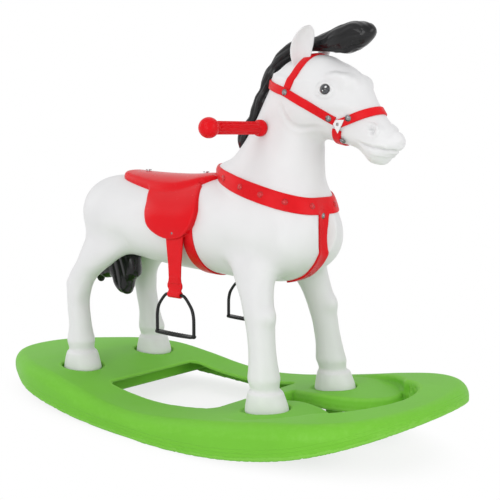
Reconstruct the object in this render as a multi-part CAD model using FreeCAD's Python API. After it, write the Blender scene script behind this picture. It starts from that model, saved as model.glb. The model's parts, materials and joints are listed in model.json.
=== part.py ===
import FreeCAD, Part
import math
import os

# A child's rocking horse: blow-moulded horse, strap harness and stirrups on a
# boat-shaped rocker.  Millimetres, Z up, X towards the nose, Y to the horse's
# left.  Origin: on the floor, under the middle of the four hooves.

V = FreeCAD.Vector
os.makedirs("parts", exist_ok=True)

# ---- driving dimensions ----------------------------------------------------
wall = 3.0            # blow-moulded wall
skin = 0.4            # air between a strap and the horse under it
strap = 3.0           # strap thickness
hoof_z = 67.0         # underside of the hooves
hoof_x = 250.0        # half the wheelbase
hoof_y = 102.0        # half the track
hoof_r = 38.0
recess_r = 43.0       # recess in the deck around each hoof
lip_depth = 26.0      # depth of the wall round the front window
pad_z = 76.0          # level pads about the front hooves, below the rising rails
lobe_long = 118.0     # half axes of a front pad, seen from above
lobe_wide = 86.0
rib_x = (-430, -320, -180, 160, 330, 480)
rock_x = 53.0         # lowest point of the rocker
rock_rear_r = 3300.0  # rocker radius behind the lowest point
rock_front_r = 1300.0 # and in front of it
handle_x = 196.0
handle_z = 563.0
tube_r = 8.0
grip_r = 11.2
grip_ribs = 10         # lengthwise ribs on each grip
ball_r = 18.0
ball_y = 188.0
collar_slope = -0.27  # fall of the neck joint towards the chest
collar_z0 = 506.2     # height of the joint plane at X = 0
collar_half = 15.5    # half the collar width
girth_x = 52.0
girth_half = 13.0
pivot_x = 26.0        # stirrup leather pivot
pivot_z = 369.0
leather_y = 102.3     # middle of the stirrup leather
leather_half = 2.0
bar_z = 252.0         # stirrup bar, carried in the leather's loop
bar_half = 17.0
wire_r = 3.0
shoulder_r = 14.8      # stirrup: tight bend beside the bar, then a wide one
shoulder_deg = 50.0
side_r = 64.9
tread_z = 178.0
tread_half = 45.0
pin_r = 4.0
screw_r = 4.0
band = 13.0           # bridle strap width
seat_rise = 13.0      # seat pad above the back

# ---- body stations ---------------------------------------------------------
# torso: X, centre Z, half width, half height
torso_rows = [
    (-312, 392, 16, 17), (-308, 392, 30, 31), (-300, 392, 46, 45), (-286, 391, 62, 59),
    (-264, 390, 78, 71), (-236, 389, 89, 78), (-205, 388, 95, 81), (-160, 384, 98, 82),
    (-80, 378, 96, 85), (0, 376, 94, 88),
    (70, 378, 95, 93), (130, 380, 97, 98), (190, 383, 98, 100), (240, 385, 90, 95),
    (272, 385, 75, 82), (291, 384, 58, 66), (303, 382, 39, 46),
    (310, 381, 20, 25)]
# neck: X, Z, tilt of the section, half depth, half width
neck_rows = [
    (182, 457.06, 74.9, 124, 80), (194, 483, 74.5, 101, 70), (206, 516, 74, 85, 59),
    (220, 558, 72, 73, 49), (236, 600, 66, 66, 45), (252, 640, 55, 58, 42)]
# withers, from the joint plane down inside the torso
withers_rows = [(182, 457.06, 74.9, 124, 80), (192, 425, 77, 104, 66), (198, 390, 80, 84, 52)]
# head: X, Z, tilt, half height, half width
head_rows = [
    (214, 662, 38, 28, 26), (241, 647, 40, 56, 42), (270, 625, 40, 75, 49),
    (307, 608, 42, 74, 49), (340, 592, 44, 65, 44), (369, 573, 44, 48, 36),
    (393, 556, 42, 37, 32), (411, 538, 40, 34, 33), (427, 522, 40, 30, 30),
    (438, 511, 40, 19, 19)]
# legs: Z, X, Y, half length, half width
fore_rows = [
    (372, 184, 40, 52, 24), (345, 188, 55, 56, 30), (318, 196, 70, 47, 32), (290, 205, 80, 37, 29),
    (262, 216, 87, 29, 26), (238, 224, 91, 27, 26), (215, 229, 93, 24, 24),
    (180, 235, 96, 22, 22), (150, 240, 98, 23, 23), (124, 244, 100, 25, 25),
    (107, 246, 101, 26, 27), (97, 248, 102, 31, 32), (87, 249, 102, 36, 36), (67, 250, 102, 38, 38)]
hind_rows = [
    (380, -200, 30, 58, 28), (350, -205, 46, 66, 33), (320, -214, 62, 60, 35), (290, -234, 76, 46, 32),
    (262, -258, 86, 35, 27), (235, -266, 93, 27, 24), (200, -265, 97, 22, 22),
    (160, -258, 99, 21, 22), (128, -252, 101, 24, 24), (107, -250, 101, 26, 27),
    (97, -250, 102, 31, 32), (87, -250, 102, 36, 36), (67, -250, 102, 38, 38)]


# ---- small helpers ---------------------------------------------------------
def ring(centre, u, v, ru, rv, count=16, power=2.0):
    points = []
    for i in range(count):
        a = 2.0 * math.pi * i / count
        c = math.cos(a)
        s = math.sin(a)
        cu = math.copysign(abs(c) ** (2.0 / power), c)
        sv = math.copysign(abs(s) ** (2.0 / power), s)
        points.append(centre + u * (ru * cu) + v * (rv * sv))
    curve = Part.BSplineCurve()
    curve.interpolate(Points=points, PeriodicFlag=True)
    return Part.Wire([curve.toShape()])


def loft(rings):
    solid = Part.makeLoft(rings, True, False)
    if solid.Volume < 0:
        solid.reverse()
    return solid


def torso(grow=0.0):
    rings = []
    for i, (x, z, ry, rz) in enumerate(torso_rows):
        shift = 0.0
        if i < 2:
            shift = -grow * 0.8
        if i > len(torso_rows) - 3:
            shift = grow * 0.8
        rings.append(ring(V(x + shift, 0, z), V(0, 1, 0), V(0, 0, 1), ry + grow, rz + grow))
    return loft(rings)


def tilted(rows, grow, power=2.0):
    rings = []
    for x, z, tilt, depth, half in rows:
        a = math.radians(tilt)
        across = V(math.sin(a), 0, -math.cos(a))
        rings.append(ring(V(x, 0, z), across, V(0, 1, 0), depth + grow, half + grow, 16, power))
    return loft(rings)


def neck(grow=0.0):
    return tilted(neck_rows, grow, 2.15)


def withers(grow=0.0):
    return tilted(withers_rows, grow, 2.15)


def head(grow=0.0):
    rings = []
    last = len(head_rows) - 1
    for i, (x, z, tilt, rise, half) in enumerate(head_rows):
        a = math.radians(tilt)
        up = V(math.sin(a), 0, math.cos(a))
        along = V(math.cos(a), 0, -math.sin(a))
        centre = V(x, 0, z)
        if i == last:
            centre = centre + along * (grow * 0.8)
        rings.append(ring(centre, up, V(0, 1, 0), rise + grow, half + grow))
    return loft(rings)


def leg(rows, side, grow=0.0, raise_foot=0.0):
    rings = []
    for z, x, y, rx, ry in rows:
        level = z + (raise_foot if z == hoof_z else 0.0)
        rings.append(ring(V(x, side * y, level), V(1, 0, 0), V(0, 1, 0), rx + grow, ry + grow))
    return loft(rings)


def joint_z(x):
    return collar_z0 + collar_slope * x


def slab(low, high):
    """Everything between two offsets from the neck joint plane."""
    length = math.sqrt(1.0 + collar_slope ** 2)
    normal = V(-collar_slope / length, 0, 1.0 / length)
    box = Part.makeBox(1600, 500, high - low, V(-800, -250, low))
    box.Placement = FreeCAD.Placement(V(190, 0, joint_z(190)), FreeCAD.Rotation(V(0, 0, 1), normal))
    return box


def ellipsoid(centre, rx, ry, rz):
    ball = Part.makeSphere(1.0)
    m = FreeCAD.Matrix()
    m.scale(V(rx, ry, rz))
    shape = ball.transformGeometry(m)
    shape.translate(centre)
    return shape


def rod(a, b, radius):
    return Part.makeCylinder(radius, (b - a).Length, a, b - a)


def stretch_xz(points, half_span, closed=True):
    """Side-view outline pushed out to both sides of the horse."""
    corners = [V(x, -half_span, z) for x, z in points]
    wire = Part.makePolygon(corners + [corners[0]])
    return Part.Face(wire).extrude(V(0, 2.0 * half_span, 0))


def smooth_xz(points, half_span):
    curve = Part.BSplineCurve()
    curve.interpolate(Points=[V(x, -half_span, z) for x, z in points], PeriodicFlag=True)
    face = Part.Face(Part.Wire([curve.toShape()]))
    return face.extrude(V(0, 2.0 * half_span, 0))


def smooth_xy(points, low, high):
    curve = Part.BSplineCurve()
    curve.interpolate(Points=[V(x, y, low) for x, y in points], PeriodicFlag=True)
    face = Part.Face(Part.Wire([curve.toShape()]))
    return face.extrude(V(0, 0, high - low))


def ribbon(points, width):
    """Band of even width along a side-view path, pushed out to both sides."""
    left = []
    right = []
    for i, (x, z) in enumerate(points):
        ax, az = points[max(i - 1, 0)]
        bx, bz = points[min(i + 1, len(points) - 1)]
        dx = bx - ax
        dz = bz - az
        size = math.hypot(dx, dz)
        left.append((x - dz / size * width / 2, z + dx / size * width / 2))
        right.append((x + dz / size * width / 2, z - dx / size * width / 2))
    return stretch_xz(left + right[::-1], 120)


def only_solids(shape, least=30.0):
    solids = [s for s in shape.Solids if s.Volume > least]
    return solids[0] if len(solids) == 1 else Part.makeCompound(solids)


def biggest(shape):
    return max(shape.Solids, key=lambda s: s.Volume)


def save(name, shape):
    shape.exportStep("parts/" + name + ".step")
    print(name, len(shape.Solids), "solids", round(shape.Volume / 1000.0, 1), "cm3", shape.isValid())


def reach(solid, start, direction):
    """Where a line leaving the horse at start comes out of a solid."""
    line = Part.makeLine(start + direction * 400.0, start + direction * 8.0)
    hits = [v.Point for v in line.section(solid).Vertexes]
    return max(hits, key=lambda p: (p - start).Length)


def both(shape):
    return [shape, shape.mirror(V(0, 0, 0), V(0, 1, 0))]


# ---- rocker ----------------------------------------------------------------
plan_rows = [
    (-537, 0), (-527, 48), (-498, 90), (-430, 138), (-322, 188), (-160, 214), (0, 221),
    (160, 228), (322, 237), (420, 232), (480, 196), (520, 120), (536, 0)]
top_rows = [
    (-560, 67), (-537, 67), (-500, 69), (-430, 73), (-340, 77), (-250, 75), (-170, 64),
    (-80, 50), (0, 45), (80, 50), (170, 63), (250, 76), (330, 91), (410, 103), (480, 109),
    (536, 111), (560, 112)]


def under_z(x):
    radius = rock_rear_r if x < rock_x else rock_front_r
    return (x - rock_x) ** 2 / (2.0 * radius)


def rocker_blank(inset, open_below=False):
    """Boat outline, deck and curved underside; an inset, open one is the cavity."""
    outline = [(x, w) for x, w in plan_rows] + [(x, -w) for x, w in plan_rows[-2:0:-1]]
    k = 1.0 - inset / 230.0
    plan = smooth_xy([(x * (1.0 - inset / 536.0), y * k) for x, y in outline], -70, 140)
    deck = Part.BSplineCurve()
    deck.interpolate([V(x, -260, z - inset) for x, z in top_rows])
    front = deck.value(deck.LastParameter)
    rear = deck.value(deck.FirstParameter)
    if open_below:
        low = [V(front.x, -260, -60), V(rear.x, -260, -60)]
        edges = [Part.makeLine(front, low[0]), Part.makeLine(*low), Part.makeLine(low[1], rear)]
    else:
        under = Part.BSplineCurve()
        stations = [560 - 70 * i for i in range(17)]
        under.interpolate([V(x, -260, under_z(x) + inset) for x in stations])
        ends = [under.value(under.FirstParameter), under.value(under.LastParameter)]
        edges = [Part.makeLine(front, ends[0]), under.toShape(), Part.makeLine(ends[1], rear)]
    wire = Part.Wire([deck.toShape()] + edges)
    side = Part.Face(wire).extrude(V(0, 520, 0))
    return plan.common(side)


def main_opening(inset):
    box = Part.makeBox(290 + 2 * inset, 248 + 2 * inset, 200, V(-145 - inset, -124 - inset, -30))
    uprights = [e for e in box.Edges if abs(e.tangentAt(0).z) > 0.99]
    return box.makeFillet(20 + inset, uprights)


def front_lobe(side, grow, low):
    """Column over the oval pad of a front hoof, from the level low upwards."""
    lobe = Part.makeCylinder(1.0, 260, V(0, 0, 0))
    m = FreeCAD.Matrix()
    m.scale(V(lobe_long + grow, lobe_wide + grow, 1))
    lobe = lobe.transformGeometry(m)
    lobe.translate(V(268, side * 112, low))
    return lobe


def front_opening(inset):
    g = inset
    rim = [
        (462 + g, 0), (452 + g, 56), (425 + g, 108), (385, 138 + g), (330, 140 + g),
        (260, 120 + g), (205 - g, 60), (192 - g, 0)]
    outline = rim + [(x, -y) for x, y in rim[-2:0:-1]]
    space = smooth_xy(outline, -30, 170)
    for side in (1, -1):
        space = space.cut(front_lobe(side, -g, -60))
    return max(space.Solids, key=lambda s: s.Volume)


def hoof_places():
    return [(sx * hoof_x, sy * hoof_y) for sx in (1, -1) for sy in (1, -1)]


def cross_ribs(windows):
    """Stiffening ribs under the deck, short of the rocking edge."""
    blank = rocker_blank(1.0)
    raised = blank.copy()
    raised.translate(V(0, 0, 16))
    ribs = Part.makeCompound([Part.makeBox(wall, 500, 160, V(x, -250, -20)) for x in rib_x])
    for side in (1, -1):
        ribs = ribs.cut(front_lobe(side, 0.0, pad_z - 1.0))
    return ribs.common(blank).common(raised).cut(windows)


def rocker_base():
    windows = main_opening(0.0).fuse(front_opening(0.0))
    blank = rocker_blank(0.0)
    for side in (1, -1):
        blank = blank.cut(front_lobe(side, 0.0, pad_z))
    below = blank.copy()
    below.translate(V(0, 0, -lip_depth))
    lip = front_opening(wall).common(blank.cut(below))
    hollow = rocker_blank(wall, True).cut(lip)
    for side in (1, -1):
        hollow = hollow.cut(front_lobe(side, wall, pad_z - wall))
    for x, y in hoof_places():
        hollow = hollow.cut(Part.makeCylinder(recess_r + wall, 90, V(x, y, hoof_z - wall)))
        hollow = hollow.cut(Part.makeCylinder(14, 180, V(x, y, -70)))
    body = blank.cut(windows).cut(hollow)
    body = body.fuse(cross_ribs(windows).Solids)
    for x, y in hoof_places():
        body = body.cut(Part.makeCylinder(recess_r, 60, V(x, y, hoof_z)))
        body = body.cut(Part.makeCylinder(11, 72, V(x, y, -20)))
        body = body.cut(Part.makeCylinder(screw_r + 0.3, 60, V(x, y, 40)))
    return biggest(body)


def hoof_screws():
    screws = []
    for x, y in hoof_places():
        shank = Part.makeCylinder(screw_r, 42, V(x, y, 52))
        cap = Part.makeCylinder(8.5, 6, V(x, y, 44.5))
        washer_gap = Part.makeCylinder(screw_r, 2.0, V(x, y, 50.3))
        screws.append(shank.fuse([cap, washer_gap]).removeSplitter())
    return Part.makeCompound(screws)


def hoof_washers():
    rings = []
    for x, y in hoof_places():
        disc = Part.makeCylinder(10, 1.4, V(x, y, 50.55))
        rings.append(disc.cut(Part.makeCylinder(screw_r + 0.3, 4, V(x, y, 49))))
    return Part.makeCompound(rings)


def hoof_inserts():
    inserts = []
    for x, y in hoof_places():
        plug = Part.makeCylinder(11, 26, V(x, y, hoof_z + wall + 0.05))
        inserts.append(plug.cut(Part.makeCylinder(screw_r + 0.05, 40, V(x, y, 60))))
    return Part.makeCompound(inserts)


# ---- horse -----------------------------------------------------------------
def four_legs(grow=0.0, raise_foot=0.0):
    legs = []
    for rows in (fore_rows, hind_rows):
        for side in (1, -1):
            legs.append(leg(rows, side, grow, raise_foot))
    return legs


below = slab(-600, 0)
above = slab(0, 600)
seat_screw_x = (-150.0, 12.0)
tail_root = V(-296, 0, 412)
mane_pegs = [V(143, 0, 568), V(176, 0, 627)]
poll_x = 250.0        # where mane and forelock meet
ear_roots = [V(262, s * 27, 668) for s in (1, -1)]


def peg_hole(a, b, radius):
    return rod(a, b, radius + 0.3)


def body_shell():
    solid = torso().fuse(four_legs() + [withers()])
    core = torso(-wall).fuse(four_legs(-wall, wall) + [withers(-wall)])
    shell = solid.cut(core).common(below)
    for x in seat_screw_x:
        shell = shell.cut(Part.makeCylinder(3.3, 80, V(x, 0, 440)))
    shell = shell.cut(rod(V(-340, 0, 400), V(-280, 0, 400), 8.3))
    shell = shell.cut(rod(V(pivot_x, -130, pivot_z), V(pivot_x, 130, pivot_z), pin_r + 0.3))
    for x, y in hoof_places():
        shell = shell.cut(Part.makeCylinder(screw_r + 0.3, 20, V(x, y, 60)))
    return biggest(shell)


def head_shell():
    outer = neck().fuse(head())
    core = neck(-2.6).common(slab(3.0, 600)).fuse(head(-2.6))
    shell = outer.cut(core).common(above)
    socket = withers(-wall - 0.5).cut(withers(-wall - 3.2)).common(slab(-24, 0))
    shell = shell.fuse(socket)
    shell = shell.cut(rod(V(handle_x, -90, handle_z), V(handle_x, 90, handle_z), tube_r + 0.3))
    for p in mane_pegs:
        shell = shell.cut(peg_hole(p + V(-60, 0, 25), p + V(24, 0, -10), 5.0))
    for p in ear_roots:
        shell = shell.cut(peg_hole(p - V(0, 0, 15), p + V(0, 0, 40), 5.0))
    for side in (1, -1):
        shell = shell.cut(ellipsoid(eye_centre(side), 9.3, 9.3, 9.3))
    return biggest(shell)


def eye_centre(side):
    return V(327, side * 39.5, 627)


def eye(side):
    return Part.makeSphere(9.0, eye_centre(side))


def ear(side):
    base = ear_roots[0]
    root = V(base.x, side * base.y, base.z)
    tip = V(293, side * 43, 738)
    rows = [(0.0, 11, 8), (0.22, 14, 9), (0.5, 16, 9), (0.78, 11, 7), (0.94, 5, 4), (1.0, 1.6, 1.6)]
    axis = (tip - root).normalize()
    wide = V(0.80, side * -0.45, 0)
    wide = (wide - axis * wide.dot(axis)).normalize()
    thick = axis.cross(wide)
    rings = []
    for t, w, h in rows:
        bow = V(-6.0 * math.sin(math.pi * t), 0, 0)
        rings.append(ring(root + (tip - root) * t + bow, wide, thick, w, h))
    leaf = loft(rings)
    hollow = ellipsoid(V(0, 0, 0), 8.5, 5.0, 27)
    turn = FreeCAD.Rotation(V(0, 0, 1), axis)
    hollow.Placement = FreeCAD.Placement(V(0, 0, 0), turn)
    face = thick * (side * -1.0)
    if face.x < 0:
        face = face * -1.0
    hollow.translate(root + (tip - root) * 0.56 + V(-5, 0, 0) + face * 10.0)
    leaf = leaf.cut(hollow)
    leaf = leaf.cut(head_grown)
    peg = rod(root - V(0, 0, 10), root + V(0, 0, 16), 5.0)
    return biggest(leaf.fuse(peg))


# ---- hair ------------------------------------------------------------------
def along(rows):
    """Loft of ellipses: X, Z, tilt, half depth, half width, Y."""
    rings = []
    for x, z, tilt, depth, half, y in rows:
        a = math.radians(tilt)
        across = V(math.sin(a), 0, -math.cos(a))
        rings.append(ring(V(x, y, z), across, V(0, 1, 0), depth, half))
    return loft(rings)


def mane():
    rows = [
        (106, 528, 60, 6, 8, 0), (112, 540, 62, 14, 15, 0), (127, 566, 60, 15, 16, 0),
        (143, 592, 56, 12, 15, 0), (157, 617, 58, 15, 17, 0), (172, 644, 60, 13, 16, 0),
        (187, 668, 55, 15, 17, 0), (206, 688, 45, 14, 16, 0), (228, 703, 25, 13, 15, 0),
        (256, 710, 8, 12, 14, 0)]
    hair = along(rows).cut(neck(strap + 2 * skin).fuse(head(strap + 2 * skin)))
    hair = hair.cut(Part.makeBox(100, 100, 200, V(poll_x - 0.15, -50, 600)))
    for p in mane_pegs:
        hair = hair.fuse(rod(p + V(-22, 0, 9.2), p + V(12, 0, -5), 5.0))
    return biggest(hair)


def forelock():
    rows = [
        (240, 707, 6, 10, 12, 0), (263, 707, 8, 11, 13, 0), (280, 708, 12, 13, 15, 0),
        (300, 710, 14, 17, 17, 0), (321, 710, 14, 23, 20, 0), (342, 713, 10, 26.5, 22, 0),
        (360, 717, 2, 25.5, 22, 0), (375, 718, -12, 21, 20, 0), (386, 717, -24, 15, 15, 0),
        (393, 716, -32, 7, 8, 0)]
    hair = along(rows).cut(neck(strap + 2 * skin).fuse(head(strap + 2 * skin)))
    hair = hair.cut(Part.makeBox(100, 100, 200, V(poll_x - 99.85, -50, 600)))
    return biggest(hair)


def tail():
    rows = [
        (-304, 422, 88, 10, 9, 0), (-315, 404, 110, 14, 14, 0), (-322, 378, 95, 16, 17, 0),
        (-324, 345, 88, 18, 19, 0), (-320, 312, 78, 19, 20, 0), (-312, 282, 74, 19, 20, 0),
        (-306, 256, 72, 14, 16, 0), (-303, 236, 70, 5, 6, 0)]
    brush = [
        (-322, 330), (-318, 282), (-306, 246), (-284, 238), (-262, 246), (-250, 226), (-232, 213),
        (-216, 222), (-206, 244), (-190, 254), (-184, 272), (-186, 300), (-220, 330), (-270, 345)]
    hair = along(rows)
    hang = smooth_xz(brush, 40).common(ellipsoid(V(-255, 0, 285), 105, 22, 120))
    hair = hair.fuse(hang).cut(torso(skin))
    for limb in four_legs(skin):
        hair = hair.cut(limb)
    peg = rod(V(-326, 0, 400), V(-296, 0, 400), 8.0)
    return biggest(hair.fuse(peg))


# ---- handle ----------------------------------------------------------------
def handle_tube():
    outer = rod(V(handle_x, -178, handle_z), V(handle_x, 178, handle_z), tube_r)
    inner = rod(V(handle_x, -179, handle_z), V(handle_x, 179, handle_z), tube_r - 1.5)
    return outer.cut(inner)


def grip(side):
    def at(y):
        return V(handle_x, side * y, handle_z)
    root = math.sqrt(ball_r ** 2 - grip_r ** 2)

    def rim(y, r):
        return V(handle_x + r, side * y, handle_z)
    low = [rim(51, 0), rim(51, 13), rim(53, 15), rim(61, 15), rim(64, grip_r), rim(ball_y - root, grip_r)]
    outline = [Part.makeLine(p, q) for p, q in zip(low, low[1:])]
    outline.append(Part.Arc(low[-1], rim(ball_y, ball_r), rim(ball_y + ball_r, 0)).toShape())
    outline.append(Part.makeLine(rim(ball_y + ball_r, 0), low[0]))
    body = Part.Face(Part.Wire(outline)).revolve(at(0), V(0, 1, 0), 360)
    corners = []
    for i in range(4 * grip_ribs):
        turn = 2.0 * math.pi * (i + 0.5) / (4 * grip_ribs)
        r = grip_r + (0.8 if i % 4 < 2 else -0.8)
        corners.append(at(62) + V(math.cos(turn), 0, math.sin(turn)) * r)
    fluted = Part.Face(Part.makePolygon(corners + corners[:1])).extrude(V(0, side * 119, 0))
    body = body.fuse(fluted)
    return biggest(body.cut(rod(at(40), at(178.3), tube_r + 0.05)))


# ---- saddle and straps -----------------------------------------------------
def saddle():
    rim = [
        (-200, 0), (-196, 24), (-180, 38), (-150, 48), (-115, 56), (-80, 62), (-40, 65),
        (0, 60), (40, 46), (58, 24), (60, 0)]
    plan = smooth_xy(rim + [(x, -y) for x, y in rim[-2:0:-1]], 425, 520)
    inner = smooth_xy([(x * 0.96, y * 0.94) for x, y in rim]
                      + [(x * 0.96, -y * 0.94) for x, y in rim[-2:0:-1]], 400, 520)
    pad = torso(seat_rise).common(plan).cut(torso(seat_rise - wall).common(inner))
    flap_rim = [
        (-50, 462), (-54, 430), (-54, 402), (-42, 376), (-14, 360), (18, 355), (52, 364),
        (76, 384), (88, 410), (88, 436), (80, 462)]
    flaps = torso(4.2 + skin).common(stretch_xz(flap_rim + [(70, 474), (-40, 474)], 130))
    seat = pad.fuse(flaps).cut(torso(skin))
    seat = seat.cut(collar_clear)
    seat = seat.cut(rod(V(pivot_x, -130, pivot_z), V(pivot_x, 130, pivot_z), pin_r + 0.3))
    for x in seat_screw_x:
        seat = seat.cut(Part.makeCylinder(3.3, 80, V(x, 0, 440)))
    return biggest(seat)


def saddle_screws(seat):
    screws = []
    for x in seat_screw_x:
        top = max(reach(seat, V(x + d, 0, 440), V(0, 0, 1)).z for d in (-5.9, -3.6, 3.6, 5.9))
        cap = Part.makeCylinder(6.0, 2.0, V(x, 0, top + 0.3))
        shank = Part.makeCylinder(3.0, 30, V(x, 0, top - 28))
        screws.append(cap.fuse(shank))
    return Part.makeCompound(screws)


def girth_strap():
    width = Part.makeBox(2 * girth_half, 300, 200, V(girth_x - girth_half, -150, 160))
    hoop = torso(strap + skin).cut(torso(skin)).common(width)
    hoop = hoop.common(Part.makeBox(400, 300, 200, V(-200, -150, 153)))
    return biggest(hoop)


def collar_strap():
    return biggest(collar_space.cut(horse_skin).common(slab(-collar_half, collar_half)))


def breast_strap():
    rim = [(-17, 440), (17, 440), (17, 405), (14, 370), (15, 300), (9, 250), (-9, 250), (-15, 300),
           (-14, 370), (-17, 405)]
    corners = [V(150, y, z) for y, z in rim]
    front = Part.Face(Part.makePolygon(corners + [corners[0]])).extrude(V(250, 0, 0))
    hang = torso(strap + skin).cut(torso(skin)).common(front)
    hang = hang.common(slab(-400, -collar_half - 0.3))
    hang = hang.common(Part.makeBox(200, 100, 300, V(212, -50, 200)))
    return biggest(hang)


cheek = [(150, 648), (196, 640), (224, 633), (250, 624), (300, 599), (346, 574)]
brow = [(250, 624), (262, 648), (282, 672), (300, 700)]
nose = [(352, 570), (372, 580), (400, 590), (430, 597)]
chin = [(352, 566), (353, 545), (354, 505)]


def head_band(path, spare):
    hoop = head_outer.cut(head_grown).common(ribbon(path, band))
    for other in spare:
        hoop = hoop.cut(ribbon(other, band + 0.6))
    return hoop


def ring_centre(side):
    return V(352.5, side * 44.0, 568.5)


def bridle_ring(side):
    y = reach(head_outer, V(352.5, 0, 568.5), V(0, side, 0)).y
    corners = []
    for i in range(3):
        a = math.radians(90 + 120 * i)
        corners.append((352.5 + 11 * math.cos(a), 568.5 + 11 * math.sin(a)))
    plate = Part.Face(Part.makePolygon([V(x, 0, z) for x, z in corners + corners[:1]]))
    plate = plate.extrude(V(0, 2.4, 0))
    plate = plate.makeFillet(3.0, [e for e in plate.Edges if abs(e.tangentAt(0).y) > 0.99])
    plate.translate(V(0, (abs(y) + 0.8) if side > 0 else -(abs(y) + 3.2), 0))
    hole = rod(V(352.5, -80, 568.5), V(352.5, 80, 568.5), 3.2)
    return plate.cut(hole).cut(head_outer)


def dome(solid, start, direction, radius):
    """Domed rivet head standing square on a strap, on a flat base."""
    aside = direction.cross(V(0.3, 0.2, 1.0)).normalize()
    other = direction.cross(aside).normalize()
    spot = reach(solid, start, direction)
    one = reach(solid, start + aside * 3.0, direction) - reach(solid, start - aside * 3.0, direction)
    two = reach(solid, start + other * 3.0, direction) - reach(solid, start - other * 3.0, direction)
    normal = one.cross(two).normalize()
    if normal.dot(direction) < 0:
        normal = normal * -1.0
    sunk = radius * 0.4
    cap = Part.makeSphere(radius).common(Part.makeCylinder(radius * 2, radius * 2, V(0, 0, sunk)))
    cap.translate(V(0, 0, -sunk))
    place = FreeCAD.Placement(spot + normal * 0.25, FreeCAD.Rotation(V(0, 0, 1), normal))
    cap.Placement = place * cap.Placement
    return cap


def bridle_rivets():
    domes = []
    for x, z in ((250, 624), (337, 579), (371, 579.5), (353, 543)):
        for side in (1, -1):
            domes.append(dome(head_outer, V(x, 0, z), V(0, side, 0), 4.6))
    return Part.makeCompound(domes)


def collar_rivets():
    domes = []
    length = math.sqrt(1.0 + collar_slope ** 2)
    forward = V(1.0 / length, 0, collar_slope / length)
    for degrees in (18, 44, 72, 104, 136):
        for side in (1, -1):
            a = math.radians(degrees)
            out = forward * math.cos(a) + V(0, side * math.sin(a), 0)
            domes.append(dome(collar_space, V(195, 0, joint_z(195)), out, 4.2))
    chest = V(200, 0, 400)
    domes.append(dome(breast_outer, chest, V(1, 0, 0), 4.6))
    return Part.makeCompound(domes)


# ---- stirrups --------------------------------------------------------------
def stirrup_leather(side):
    half_rim = [
        (0, 18), (12, 15.5), (20, 9), (23, 0), (20, -30), (16.5, -60), (15.5, -86), (19, -98),
        (19, -103), (16, -108), (16, -124)]
    rim = half_rim + [(-x, z) for x, z in half_rim[:0:-1]]
    corners = [V(pivot_x + x, -leather_half, pivot_z + z) for x, z in rim]
    plate = Part.Face(Part.makePolygon(corners + [corners[0]])).extrude(V(0, 2 * leather_half, 0))
    keeper = Part.makeBox(26, 3.0, 12, V(pivot_x - 13, -leather_half, pivot_z - 96))
    keeper.translate(V(0, 1.5, 0))
    loop = rod(V(pivot_x - 16, 0, bar_z), V(pivot_x + 16, 0, bar_z), 6.5)
    plate = plate.fuse([loop, keeper])
    plate = plate.cut(rod(V(pivot_x - 20, 0, bar_z), V(pivot_x + 20, 0, bar_z), wire_r + 0.08))
    plate = plate.cut(rod(V(pivot_x, -20, pivot_z), V(pivot_x, 20, pivot_z), pin_r + 0.08))
    if side < 0:
        plate = plate.mirror(V(0, 0, 0), V(0, 1, 0))
    plate.translate(V(0, side * leather_y, 0))
    return biggest(plate)


def stirrup(side):
    y = side * leather_y

    def at(x, z):
        return V(pivot_x + x, y, z)
    pieces = [rod(at(-bar_half, bar_z), at(bar_half, bar_z), wire_r)]
    turn = math.radians(shoulder_deg)
    for hand in (1, -1):
        near = at(hand * bar_half, bar_z - shoulder_r)
        disc = Part.Face(Part.Wire([Part.makeCircle(wire_r, at(hand * bar_half, bar_z), V(hand, 0, 0))]))
        pieces.append(disc.revolve(near, V(0, 1, 0), hand * shoulder_deg))
        out = V(hand * math.sin(turn), 0, math.cos(turn))
        spot = near + out * shoulder_r
        far = spot - out * side_r
        ahead = V(hand * math.cos(turn), 0, -math.sin(turn))
        disc = Part.Face(Part.Wire([Part.makeCircle(wire_r, spot, ahead)]))
        pieces.append(disc.revolve(far, V(0, 1, 0), hand * (90.0 - shoulder_deg)))
        foot = far + V(hand * side_r, 0, 0)
        pieces.append(rod(foot, V(foot.x, foot.y, tread_z - 2.0), wire_r))
    tread = Part.makeBox(2 * tread_half, 17, 5, V(pivot_x - tread_half, y - 8.5, tread_z - 4))
    uprights = [e for e in tread.Edges if abs(e.tangentAt(0).z) > 0.99]
    pieces.append(tread.makeFillet(5.0, uprights))
    frame = pieces[0]
    for piece in pieces[1:]:
        frame = frame.fuse(piece)
    return biggest(frame)


def pivot_rivet(side):
    def at(y):
        return V(pivot_x, side * y, pivot_z)
    shank = rod(at(84), at(leather_y + leather_half + 0.5), pin_r)
    cap = Part.makeSphere(9.0, at(leather_y + leather_half + 0.5 - 6.0))
    cap = cap.common(rod(at(leather_y + leather_half + 0.4), at(leather_y + 30), 20))
    nut = rod(at(84), at(88), 9)
    return biggest(shank.fuse([cap, nut]))


# ---- build -----------------------------------------------------------------
head_grown = neck(skin).fuse(head(skin))
head_outer = neck(strap + skin).fuse(head(strap + skin))
horse_skin = torso(skin).fuse([withers(skin), neck(skin)])
collar_space = torso(strap + skin).fuse([withers(strap + skin), neck(strap + skin)])
collar_space = collar_space.common(slab(-collar_half - 0.4, collar_half + 0.4))
collar_clear = torso(strap + 2 * skin).fuse([withers(strap + 2 * skin), neck(strap + 2 * skin)])
collar_clear = collar_clear.common(slab(-collar_half - 0.4, collar_half + 0.4))
breast_outer = torso(strap + skin)

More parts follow.
